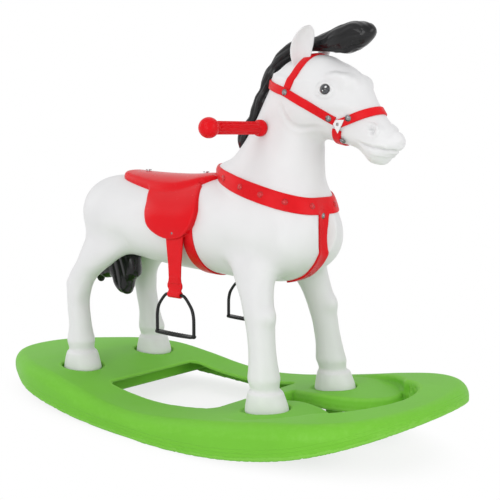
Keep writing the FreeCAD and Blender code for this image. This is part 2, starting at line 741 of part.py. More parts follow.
save("rocker_base", rocker_base())
save("hoof_screws", hoof_screws())
save("hoof_washers", hoof_washers())
save("hoof_inserts", hoof_inserts())
save("body_shell", body_shell())
save("head_shell", head_shell())
for name, side in (("left", 1), ("right", -1)):
    save("eye_" + name, eye(side))
    save("ear_" + name, ear(side))
    save("grip_" + name, grip(side))
    save("pivot_rivet_" + name, pivot_rivet(side))
    save("stirrup_leather_" + name, stirrup_leather(side))
    save("stirrup_" + name, stirrup(side))
    save("bridle_ring_" + name, bridle_ring(side))
save("handle_tube", handle_tube())
save("mane", mane())
save("forelock", forelock())
save("tail", tail())
seat = saddle()
save("saddle", seat)
save("saddle_screws", saddle_screws(seat))
save("girth_strap", girth_strap())
save("collar_strap", collar_strap())
save("breast_strap", breast_strap())
save("cheek_strap", only_solids(head_band(cheek, [])))
save("brow_band", only_solids(head_band(brow, [cheek])))
save("nose_band", only_solids(head_band(nose, [cheek])))
save("chin_strap", only_solids(head_band(chin, [cheek, nose])))
save("bridle_rivets", bridle_rivets())
save("collar_rivets", collar_rivets())
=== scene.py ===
# %% [markdown]
# # A child's rocking horse, finished for rendering
# The engineering model gives every part its place and its motion. This lesson
# puts real surfaces over it: a blow-moulded white horse, a glossy red saddle
# and harness, black hair, and a green boat-shaped rocker. Millimetres are used
# while a shape is worked out, and metres as soon as it becomes a mesh.

# %% Load the engineering model
import sys
import bpy
import json
import math
import numpy as np
from mathutils import Vector
from mathutils.bvhtree import BVHTree
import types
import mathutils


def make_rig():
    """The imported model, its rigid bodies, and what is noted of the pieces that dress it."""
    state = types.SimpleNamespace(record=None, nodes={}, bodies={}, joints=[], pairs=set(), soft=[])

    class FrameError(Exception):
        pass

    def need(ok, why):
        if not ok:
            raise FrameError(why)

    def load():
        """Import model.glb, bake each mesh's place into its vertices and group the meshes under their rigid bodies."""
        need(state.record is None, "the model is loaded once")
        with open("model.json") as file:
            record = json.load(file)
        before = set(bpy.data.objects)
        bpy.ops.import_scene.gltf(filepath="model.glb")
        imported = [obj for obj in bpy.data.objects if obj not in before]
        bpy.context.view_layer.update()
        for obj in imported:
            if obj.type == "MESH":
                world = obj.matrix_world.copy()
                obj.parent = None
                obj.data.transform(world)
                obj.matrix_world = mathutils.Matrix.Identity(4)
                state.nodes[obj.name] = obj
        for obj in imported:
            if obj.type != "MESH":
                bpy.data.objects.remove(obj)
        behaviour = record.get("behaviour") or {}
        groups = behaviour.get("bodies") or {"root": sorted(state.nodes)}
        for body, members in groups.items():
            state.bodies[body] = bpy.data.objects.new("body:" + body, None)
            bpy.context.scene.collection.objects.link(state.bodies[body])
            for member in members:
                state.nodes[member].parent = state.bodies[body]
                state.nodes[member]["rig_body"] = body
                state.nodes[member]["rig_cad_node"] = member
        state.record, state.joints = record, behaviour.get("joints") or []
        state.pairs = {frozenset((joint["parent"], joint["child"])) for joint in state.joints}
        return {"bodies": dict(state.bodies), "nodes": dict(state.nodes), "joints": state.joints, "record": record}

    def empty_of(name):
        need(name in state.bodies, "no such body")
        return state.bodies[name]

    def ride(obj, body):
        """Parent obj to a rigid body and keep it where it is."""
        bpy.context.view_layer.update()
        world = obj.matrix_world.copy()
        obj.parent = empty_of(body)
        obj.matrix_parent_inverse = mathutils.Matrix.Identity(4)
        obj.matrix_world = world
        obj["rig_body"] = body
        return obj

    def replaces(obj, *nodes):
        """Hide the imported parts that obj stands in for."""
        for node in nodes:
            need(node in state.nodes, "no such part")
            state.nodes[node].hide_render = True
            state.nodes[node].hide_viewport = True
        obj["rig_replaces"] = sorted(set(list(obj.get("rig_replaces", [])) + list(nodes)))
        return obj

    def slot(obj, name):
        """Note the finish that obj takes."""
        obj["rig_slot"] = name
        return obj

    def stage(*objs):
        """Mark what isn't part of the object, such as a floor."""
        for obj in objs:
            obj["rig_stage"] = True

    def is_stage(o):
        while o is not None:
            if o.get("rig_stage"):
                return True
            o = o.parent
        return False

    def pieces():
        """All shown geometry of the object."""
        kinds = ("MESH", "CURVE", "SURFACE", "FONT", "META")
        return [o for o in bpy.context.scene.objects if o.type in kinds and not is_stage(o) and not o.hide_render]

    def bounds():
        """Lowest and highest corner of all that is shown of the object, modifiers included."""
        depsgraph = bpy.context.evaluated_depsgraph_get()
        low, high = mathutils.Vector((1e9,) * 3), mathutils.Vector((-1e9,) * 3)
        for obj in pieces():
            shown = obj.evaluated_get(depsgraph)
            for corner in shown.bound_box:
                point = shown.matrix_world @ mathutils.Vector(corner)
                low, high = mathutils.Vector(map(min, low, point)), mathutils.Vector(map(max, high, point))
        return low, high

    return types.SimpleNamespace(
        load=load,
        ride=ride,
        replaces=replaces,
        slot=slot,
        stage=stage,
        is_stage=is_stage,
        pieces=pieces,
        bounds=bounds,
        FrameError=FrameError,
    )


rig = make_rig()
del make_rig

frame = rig.load()
cad_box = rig.bounds()
print("bodies", sorted(frame["bodies"]))
print("model size", [round(b - a, 3) for a, b in zip(*cad_box)])

# %% [markdown]
# ## The camera
# A long lens from the front right, a little above the saddle. The camera looks
# along one line, so three numbers place it: where it stands, its compass angle
# and how far it tips down.

# %% Camera
camera = bpy.data.objects.new("camera", bpy.data.cameras.new("camera"))
bpy.context.scene.collection.objects.link(camera)
camera.data.sensor_width = 36.0
camera.data.lens = 69.84
camera.location = (1.313, -1.377, 0.552)
turn, tip = math.radians(40.8), math.radians(6.8)
look = Vector((-math.sin(turn) * math.cos(tip), math.cos(turn) * math.cos(tip), -math.sin(tip)))
camera.rotation_mode = "QUATERNION"
camera.rotation_quaternion = look.to_track_quat("-Z", "Y")
camera.data.clip_end = 50.0
bpy.context.scene.camera = camera
print("camera looks along", [round(v, 3) for v in look])

# %% [markdown]
# ## From numbers to meshes
# Most parts of this toy come out of a mould: no hard edge, and one part runs
# softly into the next. Such a shape is easy to write as a *field*, a formula
# that is negative inside the plastic and positive outside. `net` walks a grid
# of points through the field and stretches a quad mesh over the places where
# its sign changes, then pulls every corner exactly onto the surface.

# %% Mesh makers
def to_mesh(name, points, faces, smooth=True):
    """A new object from points in millimetres."""
    mesh = bpy.data.meshes.new(name)
    mesh.from_pydata((np.asarray(points, float) * 0.001).tolist(), [], faces)
    mesh.update()
    mesh.polygons.foreach_set("use_smooth", [smooth] * len(mesh.polygons))
    piece = bpy.data.objects.new(name, mesh)
    bpy.context.scene.collection.objects.link(piece)
    return piece


def tag(piece, name, values):
    """Keeps a number, or a vector, on every corner for the materials to read."""
    kind, field = ("FLOAT", "value") if np.ndim(values) == 1 else ("FLOAT_VECTOR", "vector")
    mark = piece.data.attributes.new(name, kind, "POINT")
    mark.data.foreach_set(field, np.asarray(values, float).ravel())


def unit(way):
    """The same direction with length one."""
    return way / np.linalg.norm(way)


def pull_on(field, points, step, rounds=3):
    """Moves points along the field's slope until they lie on its surface."""
    e = step * 0.15
    for _ in range(rounds):
        x, y, z = points.T
        value = field(x, y, z)
        slope = np.stack([field(x + e, y, z) - field(x - e, y, z), field(x, y + e, z) - field(x, y - e, z),
                          field(x, y, z + e) - field(x, y, z - e)], 1) / (2 * e)
        size = np.maximum((slope ** 2).sum(1), 0.05)
        move = slope * (value / size)[:, None]
        far = np.maximum(np.linalg.norm(move, axis=1) / (0.6 * step), 1.0)
        points = points - move / far[:, None]
    return points


def net(field, low, high, step):
    """Corners and quads of the surface where a field changes sign."""
    count = [int(math.ceil((b - a) / step)) + 1 for a, b in zip(low, high)]
    lines = [a + step * np.arange(n) for a, n in zip(low, count)]
    f = field(*np.meshgrid(*lines, indexing="ij"))
    inside = f < 0
    cells = tuple(n - 1 for n in count)
    total = np.zeros(cells + (3,))
    hits = np.zeros(cells)
    edges = []
    for axis in range(3):
        first = tuple(slice(None, -1) if a == axis else slice(None) for a in range(3))
        second = tuple(slice(1, None) if a == axis else slice(None) for a in range(3))
        crossing = inside[first] != inside[second]
        start = np.argwhere(crossing)
        one, two = f[first][crossing], f[second][crossing]
        spot = start.astype(float)
        spot[:, axis] += one / (one - two)
        p, q = [a for a in range(3) if a != axis]
        ring = []
        for dp, dq in ((0, 0), (1, 0), (1, 1), (0, 1)):
            cell = start.copy()
            cell[:, p] -= dp
            cell[:, q] -= dq
            np.add.at(total, tuple(cell.T), spot)
            np.add.at(hits, tuple(cell.T), 1.0)
            ring.append(cell)
        edges.append((ring, inside[first][crossing] ^ (axis == 1)))
    used = hits > 0
    ids = np.full(cells, -1)
    ids[used] = np.arange(used.sum())
    points = total[used] / hits[used][:, None] * step + np.array(low)
    faces = []
    for ring, out in edges:
        quad = np.stack([ids[tuple(c.T)] for c in ring], 1)
        quad[~out] = quad[~out][:, ::-1]
        faces.append(quad)
    return pull_on(field, points, step), np.concatenate(faces)


def skin_normals(points, faces):
    """Outward direction at every corner."""
    a, b, c, d = (points[faces[:, i]] for i in range(4))
    across = np.cross(c - a, d - b)
    out = np.zeros_like(points)
    for i in range(4):
        np.add.at(out, faces[:, i], across)
    return out / np.maximum(np.linalg.norm(out, axis=1), 1e-9)[:, None]


def relax(points, faces, rounds, weight=None):
    """Evens out a mesh by drawing each corner towards its neighbours."""
    ends = np.concatenate([faces[:, [0, 1]], faces[:, [1, 2]], faces[:, [2, 3]], faces[:, [3, 0]]])
    degree = np.bincount(ends.ravel(), minlength=len(points)).astype(float)
    for _ in range(rounds):
        near = np.zeros_like(points)
        np.add.at(near, ends[:, 0], points[ends[:, 1]])
        np.add.at(near, ends[:, 1], points[ends[:, 0]])
        move = near / degree[:, None] - points
        points = points + move * (0.5 if weight is None else 0.5 * weight[:, None])
    return points


# %% [markdown]
# ## Shaping tools
# Tables give the size of the horse at stations along each part. A smooth curve
# is drawn through each column, so any station between two rows has a size too.
# Two fields are joined with a soft minimum, which leaves a rounded valley
# between them, as the mould has where a leg meets the belly.

# %% Tables and joins
def through(stations, values, fine=12):
    """A smooth curve through table values, read at any station."""
    s = np.array(stations, float)
    v = np.array(values, float)
    slope = np.gradient(v, s)
    rise = np.diff(v) / np.diff(s)
    for i in range(1, len(s) - 1):
        if rise[i - 1] * rise[i] <= 0:
            slope[i] = 0.0
    dense_s, dense_v = [], []
    for i in range(len(s) - 1):
        t = np.linspace(0, 1, fine, endpoint=False)
        h = s[i + 1] - s[i]
        dense_s.append(s[i] + t * h)
        dense_v.append((2 * t ** 3 - 3 * t ** 2 + 1) * v[i] + (t ** 3 - 2 * t ** 2 + t) * h * slope[i]
                       + (3 * t ** 2 - 2 * t ** 3) * v[i + 1] + (t ** 3 - t ** 2) * h * slope[i + 1])
    xs = np.append(np.concatenate(dense_s), s[-1])
    ys = np.append(np.concatenate(dense_v), v[-1])
    return lambda at: np.interp(at, xs, ys)


def oval(u, v, ru, rv):
    """Near distance to an ellipse with half axes ru and rv."""
    k = np.sqrt((u / ru) ** 2 + (v / rv) ** 2) + 1e-6
    g = np.sqrt((u / ru ** 2) ** 2 + (v / rv ** 2) ** 2) + 1e-9
    return np.where(k < 0.3, -0.7 * np.minimum(ru, rv), k * (k - 1) / g)


def join(a, b, soft):
    """Union of two fields, with a valley of the given softness."""
    h = np.clip(0.5 + 0.5 * (b - a) / soft, 0, 1)
    return b + (a - b) * h - soft * h * (1 - h)


def trim(a, b, r):
    """What lies inside both fields, its edge rounded to radius r."""
    corner = np.hypot(np.maximum(a + r, 0), np.maximum(b + r, 0))
    return np.minimum(-r, np.maximum(a, b)) + corner


def loop_through(points, fine=12):
    """Closed smooth outline through a few corners."""
    p = np.array(points, float)
    n = len(p)
    out = []
    for i in range(n):
        a, b, c, d = p[(i - 1) % n], p[i], p[(i + 1) % n], p[(i + 2) % n]
        chord = np.linalg.norm(c - b)
        m1 = (c - a) / (np.linalg.norm(c - b) + np.linalg.norm(b - a)) * chord
        m2 = (d - b) / (np.linalg.norm(d - c) + np.linalg.norm(c - b)) * chord
        for t in np.linspace(0, 1, fine, endpoint=False):
            out.append((2 * t ** 3 - 3 * t ** 2 + 1) * b + (t ** 3 - 2 * t ** 2 + t) * m1
                       + (3 * t ** 2 - 2 * t ** 3) * c + (t ** 3 - t ** 2) * m2)
    return np.array(out)


def to_outline(outline, x, y):
    """Distance from points to a closed outline, negative inside."""
    best = np.full(x.shape, 1e9)
    odd = np.zeros(x.shape, bool)
    for (ax, ay), (bx, by) in zip(outline, np.roll(outline, -1, 0)):
        dx, dy = bx - ax, by - ay
        t = np.clip(((x - ax) * dx + (y - ay) * dy) / (dx * dx + dy * dy + 1e-12), 0, 1)
        best = np.minimum(best, (x - ax - t * dx) ** 2 + (y - ay - t * dy) ** 2)
        if by != ay:
            odd ^= ((ay > y) != (by > y)) & (x < dx * (y - ay) / dy + ax)
    return np.where(odd, -1, 1) * np.sqrt(best)


def chart(outline, margin=40.0, step=1.5):
    """The same distance, worked out once on a sheet and then looked up."""
    low = outline.min(0) - margin
    high = outline.max(0) + margin
    xs = np.arange(low[0], high[0], step)
    ys = np.arange(low[1], high[1], step)
    sheet = to_outline(outline, *np.meshgrid(xs, ys, indexing="ij"))

    def read(x, y):
        u = np.clip((x - low[0]) / step, 0, len(xs) - 1.001)
        v = np.clip((y - low[1]) / step, 0, len(ys) - 1.001)
        i, j = u.astype(int), v.astype(int)
        s, t = u - i, v - j
        return ((sheet[i, j] * (1 - s) + sheet[i + 1, j] * s) * (1 - t)
                + (sheet[i, j + 1] * (1 - s) + sheet[i + 1, j + 1] * s) * t)
    return read


def mirrored(rim):
    """A half outline, from the middle line out and back, made whole."""
    return rim + [(x, -y) for x, y in rim[-2:0:-1]]

# %% [markdown]
# ## The horse's skin
# The horse is two hollow mouldings, body and head, that meet on a slanting
# plane under the wide collar. Both are cut from one field, so their surfaces
# run on across the joint. Each part is a row of ovals: the trunk along its
# length, the legs from hip to hoof, the neck and the head along their own
# leaning axes.

# %% The horse in numbers
trunk_rows = [
    (-314, 392, 4, 4), (-312, 392, 16, 17), (-308, 392, 30, 31), (-300, 392, 46, 45),
    (-286, 391, 62, 59), (-264, 390, 78, 71), (-236, 389, 89, 78), (-205, 388, 95, 81),
    (-160, 384, 98, 82), (-80, 378, 96, 85), (0, 376, 94, 88), (70, 378, 95, 93),
    (130, 380, 97, 98), (190, 383, 98, 100), (240, 385, 90, 95), (272, 385, 75, 82),
    (291, 384, 58, 66), (303, 382, 39, 46), (310, 381, 20, 25), (312, 381, 4, 5)]
neck_rows = [
    (429.5, 198, 390, 84, 52), (461.5, 192, 425, 104, 66), (489.5, 182, 457, 124, 80),
    (517.8, 194, 483, 101, 70), (552.8, 206, 516, 85, 59), (597, 220, 558, 73, 49),
    (641.8, 236, 600, 66, 45), (684.7, 252, 640, 58, 42)]
head_rows = [
    (-272.8, 214, 662, 28, 26), (-242.6, 241, 647, 56, 42), (-206.3, 270, 625, 75, 49),
    (-167.2, 307, 608, 74, 49), (-131.8, 340, 592, 65, 44), (-97.4, 369, 573, 48, 36),
    (-68.2, 393, 556, 37, 32), (-44.0, 411, 540, 34.5, 33), (-28.1, 422.5, 530.5, 35, 31),
    (-17.0, 436, 529, 27, 24.5), (-10.0, 444, 528.5, 18, 16), (-5.0, 448, 526, 6, 6)]
fore_rows = [
    (67, 250, 102, 38.5, 38), (84, 250, 102, 36.5, 36), (98, 249, 102, 33, 33), (104, 248, 102, 30.5, 31),
    (108, 246, 101, 27, 27.5), (114, 245, 101, 27, 27), (126, 243, 100, 29.5, 28.5), (140, 241, 99, 27.5, 27),
    (156, 239, 98, 25.5, 25.5), (180, 235, 96, 24.6, 24.4), (215, 229, 93, 26.4, 25.4),
    (238, 224, 91, 29, 27), (262, 216, 87, 31, 27.5), (290, 205, 80, 38.5, 29.5), (318, 196, 70, 48, 32),
    (345, 188, 55, 56, 30), (372, 184, 40, 52, 24)]
hind_rows = [
    (67, -250, 102, 38.5, 38), (84, -250, 102, 36.5, 36), (98, -250, 102, 33, 33), (104, -251, 102, 30.5, 31),
    (108, -252, 101, 27, 27.5), (114, -253, 101, 26.5, 27), (126, -254, 101, 29, 28.5), (141, -256, 100, 26, 26),
    (160, -258, 99, 23.2, 23.5),
    (200, -265, 97, 23.2, 23.2), (235, -266, 93, 28, 25), (262, -258, 86, 35, 27),
    (290, -234, 76, 46, 32), (320, -214, 62, 60, 35), (350, -205, 46, 66, 33), (380, -200, 30, 58, 28)]
hoof_floor = 67.0
hands = (("left", 1), ("right", -1))
hooves = [(250, 102), (250, -102), (-250, 102), (-250, -102)]
print("stations", len(trunk_rows), len(neck_rows), len(head_rows), len(fore_rows), len(hind_rows))

# %% Fields of the horse's parts
def columns(rows):
    stations = [r[0] for r in rows]
    return [through(stations, [r[i] for r in rows]) for i in range(1, len(rows[0]))], stations


def trunk_field():
    (height, wide, tall), stations = columns(trunk_rows)

    def field(x, y, z):
        body = oval(y, z - height(x), wide(x), tall(x))
        return np.maximum(body, np.maximum(stations[0] - x, x - stations[-1]))
    return field


def leg_field(rows):
    (ahead, aside, long, wide), stations = columns(rows)

    def field(x, y, z):
        shank = oval(x - ahead(z), np.abs(y) - aside(z), long(z), wide(z))
        return trim(shank, np.maximum(stations[0] - z, z - stations[-1]), 4)
    return field


def leaning_field(rows, along, up):
    """A loft on a leaning axis: along is the axis, up the first half axis."""
    (cx, cz, tall, wide), stations = columns(rows)

    def field(x, y, z):
        w = x * along[0] + z * along[1]
        u = (x - cx(w)) * up[0] + (z - cz(w)) * up[1]
        body = oval(u, y, tall(w), wide(w))
        return np.maximum(body, np.maximum(stations[0] - w, w - stations[-1]))
    return field


trunk = trunk_field()
foreleg, hindleg = leg_field(fore_rows), leg_field(hind_rows)
neck = leaning_field(neck_rows, (0.2756, 0.9613), (0.9613, -0.2756))
head = leaning_field(head_rows, (0.7547, -0.6561), (0.6561, 0.7547))


# Soft hollows in the field itself, where both mouldings meet: centre, spread, depth.
hollows = [((312, 0, 432), (38, 52, 32), 13), ((298, 0, 368), (46, 24, 62), 24)]


def horse(x, y, z):
    shape = join(trunk(x, y, z), hindleg(x, y, z), 26)
    shape = join(shape, foreleg(x, y, z), 24)
    shape = join(shape, neck(x, y, z), 24)
    shape = join(shape, head(x, y, z), 22)
    for (hx, hy, hz), (sx, sy, sz), deep in hollows:
        shape = shape + deep * np.exp(-((x - hx) / sx) ** 2 - ((y - hy) / sy) ** 2 - ((z - hz) / sz) ** 2)
    return shape


def joint_height(x):
    """Height of the plane where the head moulding meets the body."""
    return 506.2 - 0.27 * x


joint_lean, joint_gap, joint_edge = 0.965, 0.4, 1.5


def above_joint(x, z):
    """Distance above the joint plane."""
    return (z - joint_height(x)) * joint_lean


def body_half(x, y, z):
    return trim(horse(x, y, z), above_joint(x, z), joint_edge)


def head_half(x, y, z):
    return trim(horse(x, y, z), (joint_height(x) + joint_gap - z) * joint_lean, joint_edge)


body_points, body_faces = net(body_half, (-322, -142, 64), (322, 142, 500), 3.0)
head_points, head_faces = net(head_half, (50, -96, 396), (476, 96, 706), 2.1)
print("body quads", len(body_faces), "head quads", len(head_faces))

# %% [markdown]
# ## Muscles, knees and a face
# An oval loft is a sausage. The mould maker presses thumbs of clay on it, and
# so do the next tools: `swell` raises or sinks a round patch along the surface,
# and `groove` cuts a soft furrow along a line. Every press is mirrored, so both
# sides match.

# %% Clay tools
def swell(points, normals, centre, radius, height, squash=(1, 1, 1)):
    """Raises a soft round patch, on both sides of the horse."""
    moved = points.copy()
    for side in ((1, -1) if abs(centre[1]) > 0.01 else (1,)):
        spot = np.array([centre[0], side * centre[1], centre[2]], float)
        away = np.linalg.norm((points - spot) / np.array(squash, float), axis=1) / radius
        lift = np.where(away < 1, (1 - away ** 2) ** 2, 0) * height
        moved += normals * lift[:, None]
    return moved


def near_line(points, line):
    """Distance from each point to a broken line, and how far along it is."""
    best = np.full(len(points), 1e9)
    along = np.zeros(len(points))
    for i, (a, b) in enumerate(zip(line, line[1:])):
        a, b = np.array(a, float), np.array(b, float)
        t = np.clip((points - a) @ (b - a) / ((b - a) @ (b - a)), 0, 1)
        far = np.linalg.norm(points - a - t[:, None] * (b - a), axis=1)
        closer = far < best
        best[closer] = far[closer]
        along[closer] = (i + t[closer]) / (len(line) - 1)
    return best, along


def groove(points, normals, line, width, depth):
    """Sinks a furrow (or raises a ridge) that fades out at its two ends."""
    moved = points.copy()
    for side in (1, -1):
        far, along = near_line(points, [(x, side * y, z) for x, y, z in line])
        fade = np.clip(np.minimum(along, 1 - along) * 6 + 0.15, 0, 1)
        cut = np.where(far < width, (1 - (far / width) ** 2) ** 2, 0) * fade
        moved -= normals * (cut * depth)[:, None]
    return moved


def on_skin(points, line, count=14):
    """The same line, moved to the nearest corners of the skin."""
    dense = [np.array(a) * (1 - t) + np.array(b) * t for a, b in zip(line, line[1:])
             for t in np.linspace(0, 1, count, endpoint=False)]
    return soften(np.array([points[((points - spot) ** 2).sum(1).argmin()] for spot in dense]), 2, False)


def soften(values, rounds, closed):
    """A row of values or points, each drawn towards its two neighbours."""
    for _ in range(rounds):
        if closed:
            values = (np.roll(values, 1, 0) + 2 * values + np.roll(values, -1, 0)) / 4
        else:
            inner = (values[:-2] + 2 * values[1:-1] + values[2:]) / 4
            values = np.concatenate([values[:1], inner, values[-1:]])
    return values


# %% Body modelling
def press(points, faces, patches):
    """All the round patches of one moulding, raised or sunk."""
    normals = skin_normals(points, faces)
    for centre, radius, height, squash in patches:
        points = swell(points, normals, centre, radius, height, squash)
    return points


body_patches = [
    ((262, 62, 356), 56, 12, (1, 1, 1.3)),        # breast muscles
    ((206, 92, 352), 52, 4, (1, 1, 1.3)),         # shoulder
    ((-232, 82, 340), 66, 5, (1, 1, 1.2)),        # thigh
    ((-140, 92, 330), 46, -4, (1, 1, 1.2)),       # flank hollow
    ((248, 93, 234), 23, 5.5, (1, 1.1, 1.1)),     # fore knee
    ((212, 92, 200), 20, -2.5, (1, 1, 1.5)),
    ((-294, 92, 240), 22, 6, (1, 1, 1.1)),        # hock
    ((-240, 96, 210), 24, -3, (1, 1, 1.4)),
    ((226, 101, 124), 16, 3.0, (1, 1.3, 0.9)),    # fetlocks
    ((-274, 101, 124), 16, 3.0, (1, 1.3, 0.9)),
    ((284, 102, 74), 26, 4.5, (1, 1.6, 0.9)),     # toes
    ((-216, 102, 74), 26, 4.5, (1, 1.6, 0.9)),
    ((170, 60, 452), 46, 3, (1.2, 1, 1))]         # withers
neck_patch = ((206, 40, 560), 40, 2.5, (0.7, 1, 1.5))
body_points = press(body_points, body_faces, body_patches)
out = skin_normals(body_points, body_faces)
for leg_x, leg_y in hooves[::2]:
    ring = [(leg_x - 2 + 28 * math.cos(a), leg_y + 28 * math.sin(a), 109) for a in np.linspace(0, 6.28, 25)]
    body_points = groove(body_points, out, ring + ring[1:6], 6, 1.6)
body_points = relax(body_points, body_faces, 2, np.clip((body_points[:, 2] - 72) / 8, 0, 1)
                    * np.clip((joint_height(body_points[:, 0]) - body_points[:, 2] - 4) / 6, 0, 1))
print("body top", round(body_points[:, 2].max(), 1), "widest", round(abs(body_points[:, 1]).max(), 1))

# %% Head modelling
head_points = press(head_points, head_faces, [
    ((272, 44, 588), 40, 5, (1, 1, 1)),           # cheek
    ((322, 40, 627), 24, -5, (1.15, 1, 0.95)),    # eye hollow
    ((345, 34, 648), 18, 6.5, (1.6, 1, 0.7)),     # brow
    ((368, 30, 640), 24, 9, (1.2, 1, 0.9)),
    ((352, 36, 600), 26, 3, (1.7, 1, 0.5)),       # cheek bone under the eye
    ((372, 34, 568), 26, -3.5, (1.5, 1, 1)),
    ((420, 28, 558), 17, 5.5, (1, 1, 1.1)),       # nostril wing
    ((444, 14, 536), 14, 1.5, (1, 1.3, 0.9)),     # upper lip
    ((418, 8, 509), 17, 4.0, (1.2, 1.6, 0.8)),    # lower lip and chin
    ((378, 22, 528), 18, -2.5, (1.3, 1, 0.8)),
    ((300, 20, 545), 30, -4, (1.3, 1, 0.8)),      # hollow under the jaw
    neck_patch])
out = skin_normals(head_points, head_faces)
for line, width, depth in (
        ([(234, 44, 610), (242, 48, 588), (255, 48, 570), (272, 47, 559), (290, 46, 554), (326, 44, 556)], 9, 2.8),
        ([(449, 0, 524), (443, 14, 525), (428, 27, 528), (408, 32, 532), (380, 34, 537)], 4.2, 5.4),
        ([(436, 0, 517), (428, 18, 519), (410, 28, 523)], 4.5, -1.6),
        ([(448, 0, 533), (440, 18, 533), (424, 29, 537)], 4.5, -1.2),
        ([(409, 33, 567), (416, 33, 563), (418, 32, 556), (414, 32, 551)], 6.5, 8.0),
        ([(402, 33, 570), (417, 33, 570), (426, 30, 560), (423, 30, 549)], 5.0, -3.0)):
    skin_line = on_skin(head_points, line)
    head_points = groove(head_points, out, skin_line, width, depth)
head_points = relax(head_points, head_faces, 1, np.clip(
    (head_points[:, 2] - joint_height(head_points[:, 0]) - 4) / 6, 0, 1))
out = skin_normals(head_points, head_faces)
for lid in (-1, 1):
    for size, width, depth in ((1.0, 4.4, -2.6 if lid > 0 else -2.2), (1.32, 3.6, 1.3)):
        arc = [(327 + 14.5 * size * math.cos(a), 44, 626.5 + lid * 12 * size * math.sin(a))
               for a in np.linspace(0.1, 3.04, 9)]
        head_points = groove(head_points, out, on_skin(head_points, arc, 4), width, depth)
print("head from", head_points.min(0).round(1), "to", head_points.max(0).round(1))

# %% [markdown]
# ## Skins to lay things on
# Straps, hair and rivets all lie on the horse. A search tree over each skin
# answers two questions fast: where does a line from outside first touch the
# horse, and which spot of the skin is nearest?

# %% Body, head and search trees
body_skin = to_mesh("horse_body", body_points, body_faces.tolist())
head_skin = to_mesh("horse_head", head_points, head_faces.tolist())


def whole_chest(x, y, z):
    """Chest and neck in one piece, without the joint that the collar hides."""
    block = np.maximum(np.abs(x - 210) - 186, np.abs(z - 415) - 181)
    return np.maximum(horse(x, y, z), block)


guide_points, guide_faces = net(whole_chest, (18, -142, 228), (402, 142, 602), 3.6)
guide_points = press(guide_points, guide_faces, body_patches + [neck_patch])
guide_points = relax(guide_points, guide_faces, 2)
horse_tree = BVHTree.FromPolygons(guide_points.tolist(), guide_faces.tolist())
head_tree = BVHTree.FromPolygons(head_points.tolist(), head_faces.tolist())


def touch(tree, start, aim):
    """Where a line from start towards aim meets the skin, and the way out."""
    start, aim = Vector(start), Vector(aim)
    spot, normal, _, _ = tree.ray_cast(start, (aim - start).normalized())
    if spot is None:
        spot, normal, _, _ = tree.find_nearest(aim)
    return np.array(spot), np.array(normal)


print("skin corners", len(body_points) + len(head_points), "guide", len(guide_points))

# %% [markdown]
# ## Straps that hug the horse
# Every strap is a flat vinyl band a few millimetres thick with softened edges.
# It could be cut from a copy of the skin, but then its edges would be ragged.
# Here a line of touch points is found first, evened out, and a small band
# profile is carried along it, each of its points set down on the skin again.

# %% Strap maker
def even_path(points, gap):
    """The same line with points at even distances."""
    p = np.array(points, float)
    run = np.append(0, np.cumsum(np.linalg.norm(np.diff(p, axis=0), axis=1)))
    at = np.linspace(0, run[-1], max(int(run[-1] / gap), 3) + 1)
    return np.stack([np.interp(at, run, p[:, i]) for i in range(3)], 1)


def tube_faces(rows, sides, closed=False):
    """Quads between rings of corners, with the two ends shut by single faces."""
    faces = []
    for i in range(rows if closed else rows - 1):
        a, b = i * sides, (i + 1) % rows * sides
        faces += [(a + j, a + (j + 1) % sides, b + (j + 1) % sides, b + j) for j in range(sides)]
    if not closed:
        faces += [tuple(range(sides - 1, -1, -1)), tuple(range((rows - 1) * sides, rows * sides))]
    return faces


band_profile = [(-1.0, -1.2), (-1.0, 1.5), (-0.985, 2.3), (-0.95, 2.8), (-0.88, 3.0), (-0.6, 3.1), (-0.2, 3.15),
                (0.2, 3.15), (0.6, 3.1), (0.88, 3.0), (0.95, 2.8), (0.985, 2.3), (1.0, 1.5), (1.0, -1.2),
                (0.4, -1.6), (-0.4, -1.6)]


def lay_strap(name, tree, spots, half, closed=False, lift=0.2, gap=3.0):
    """A band laid along touch points; half may be a number or run(t) in 0..1."""
    path = even_path(list(spots) + ([spots[0]] if closed else []), gap)
    if closed:
        path = path[:-1]
    path = soften(path, 4, closed)
    normals = np.array([tree.find_nearest(Vector(p))[1] for p in path], float)
    normals = soften(normals, 10, closed)
    normals /= np.linalg.norm(normals, axis=1)[:, None]
    if closed:
        ahead = np.roll(path, -1, 0) - np.roll(path, 1, 0)
    else:
        ahead = np.gradient(path, axis=0)
    across = np.cross(ahead, normals)
    across /= np.linalg.norm(across, axis=1)[:, None]
    corners = []
    for i, p in enumerate(path):
        t = i / (len(path) - 1)
        wide = half(t) if callable(half) else half
        for u, rise in band_profile:
            spot, normal, _, _ = tree.find_nearest(Vector(p + across[i] * u * wide))
            way = np.array(normal) * 0.5 + normals[i] * 0.5
            corners.append(np.array(spot) + unit(way) * (rise + lift))
    faces = tube_faces(len(path), len(band_profile), closed)
    strap = to_mesh(name, corners, [tuple(reversed(f)) for f in faces])
    print(name, "length", round(float(np.linalg.norm(np.diff(path, axis=0), axis=1).sum()), 1), "mm")
    return strap


# %% Collar, breast strap and girth
forward = np.array([0.9654, 0, -0.2607])
sideways = np.array([0.0, 1.0, 0.0])
collar_middle = np.array([195.0, 0, joint_height(195)])


def around(tree, middle, ahead, aside, degrees, reach):
    """Where a line in from outside, turned from ahead to aside, meets the skin."""
    middle, a = np.array(middle, float), math.radians(degrees)
    out = np.array(ahead, float) * math.cos(a) + np.array(aside, float) * math.sin(a)
    return touch(tree, middle + out * reach, middle)


def collar_spot(degrees):
    return around(horse_tree, collar_middle, forward, sideways, degrees, 260)


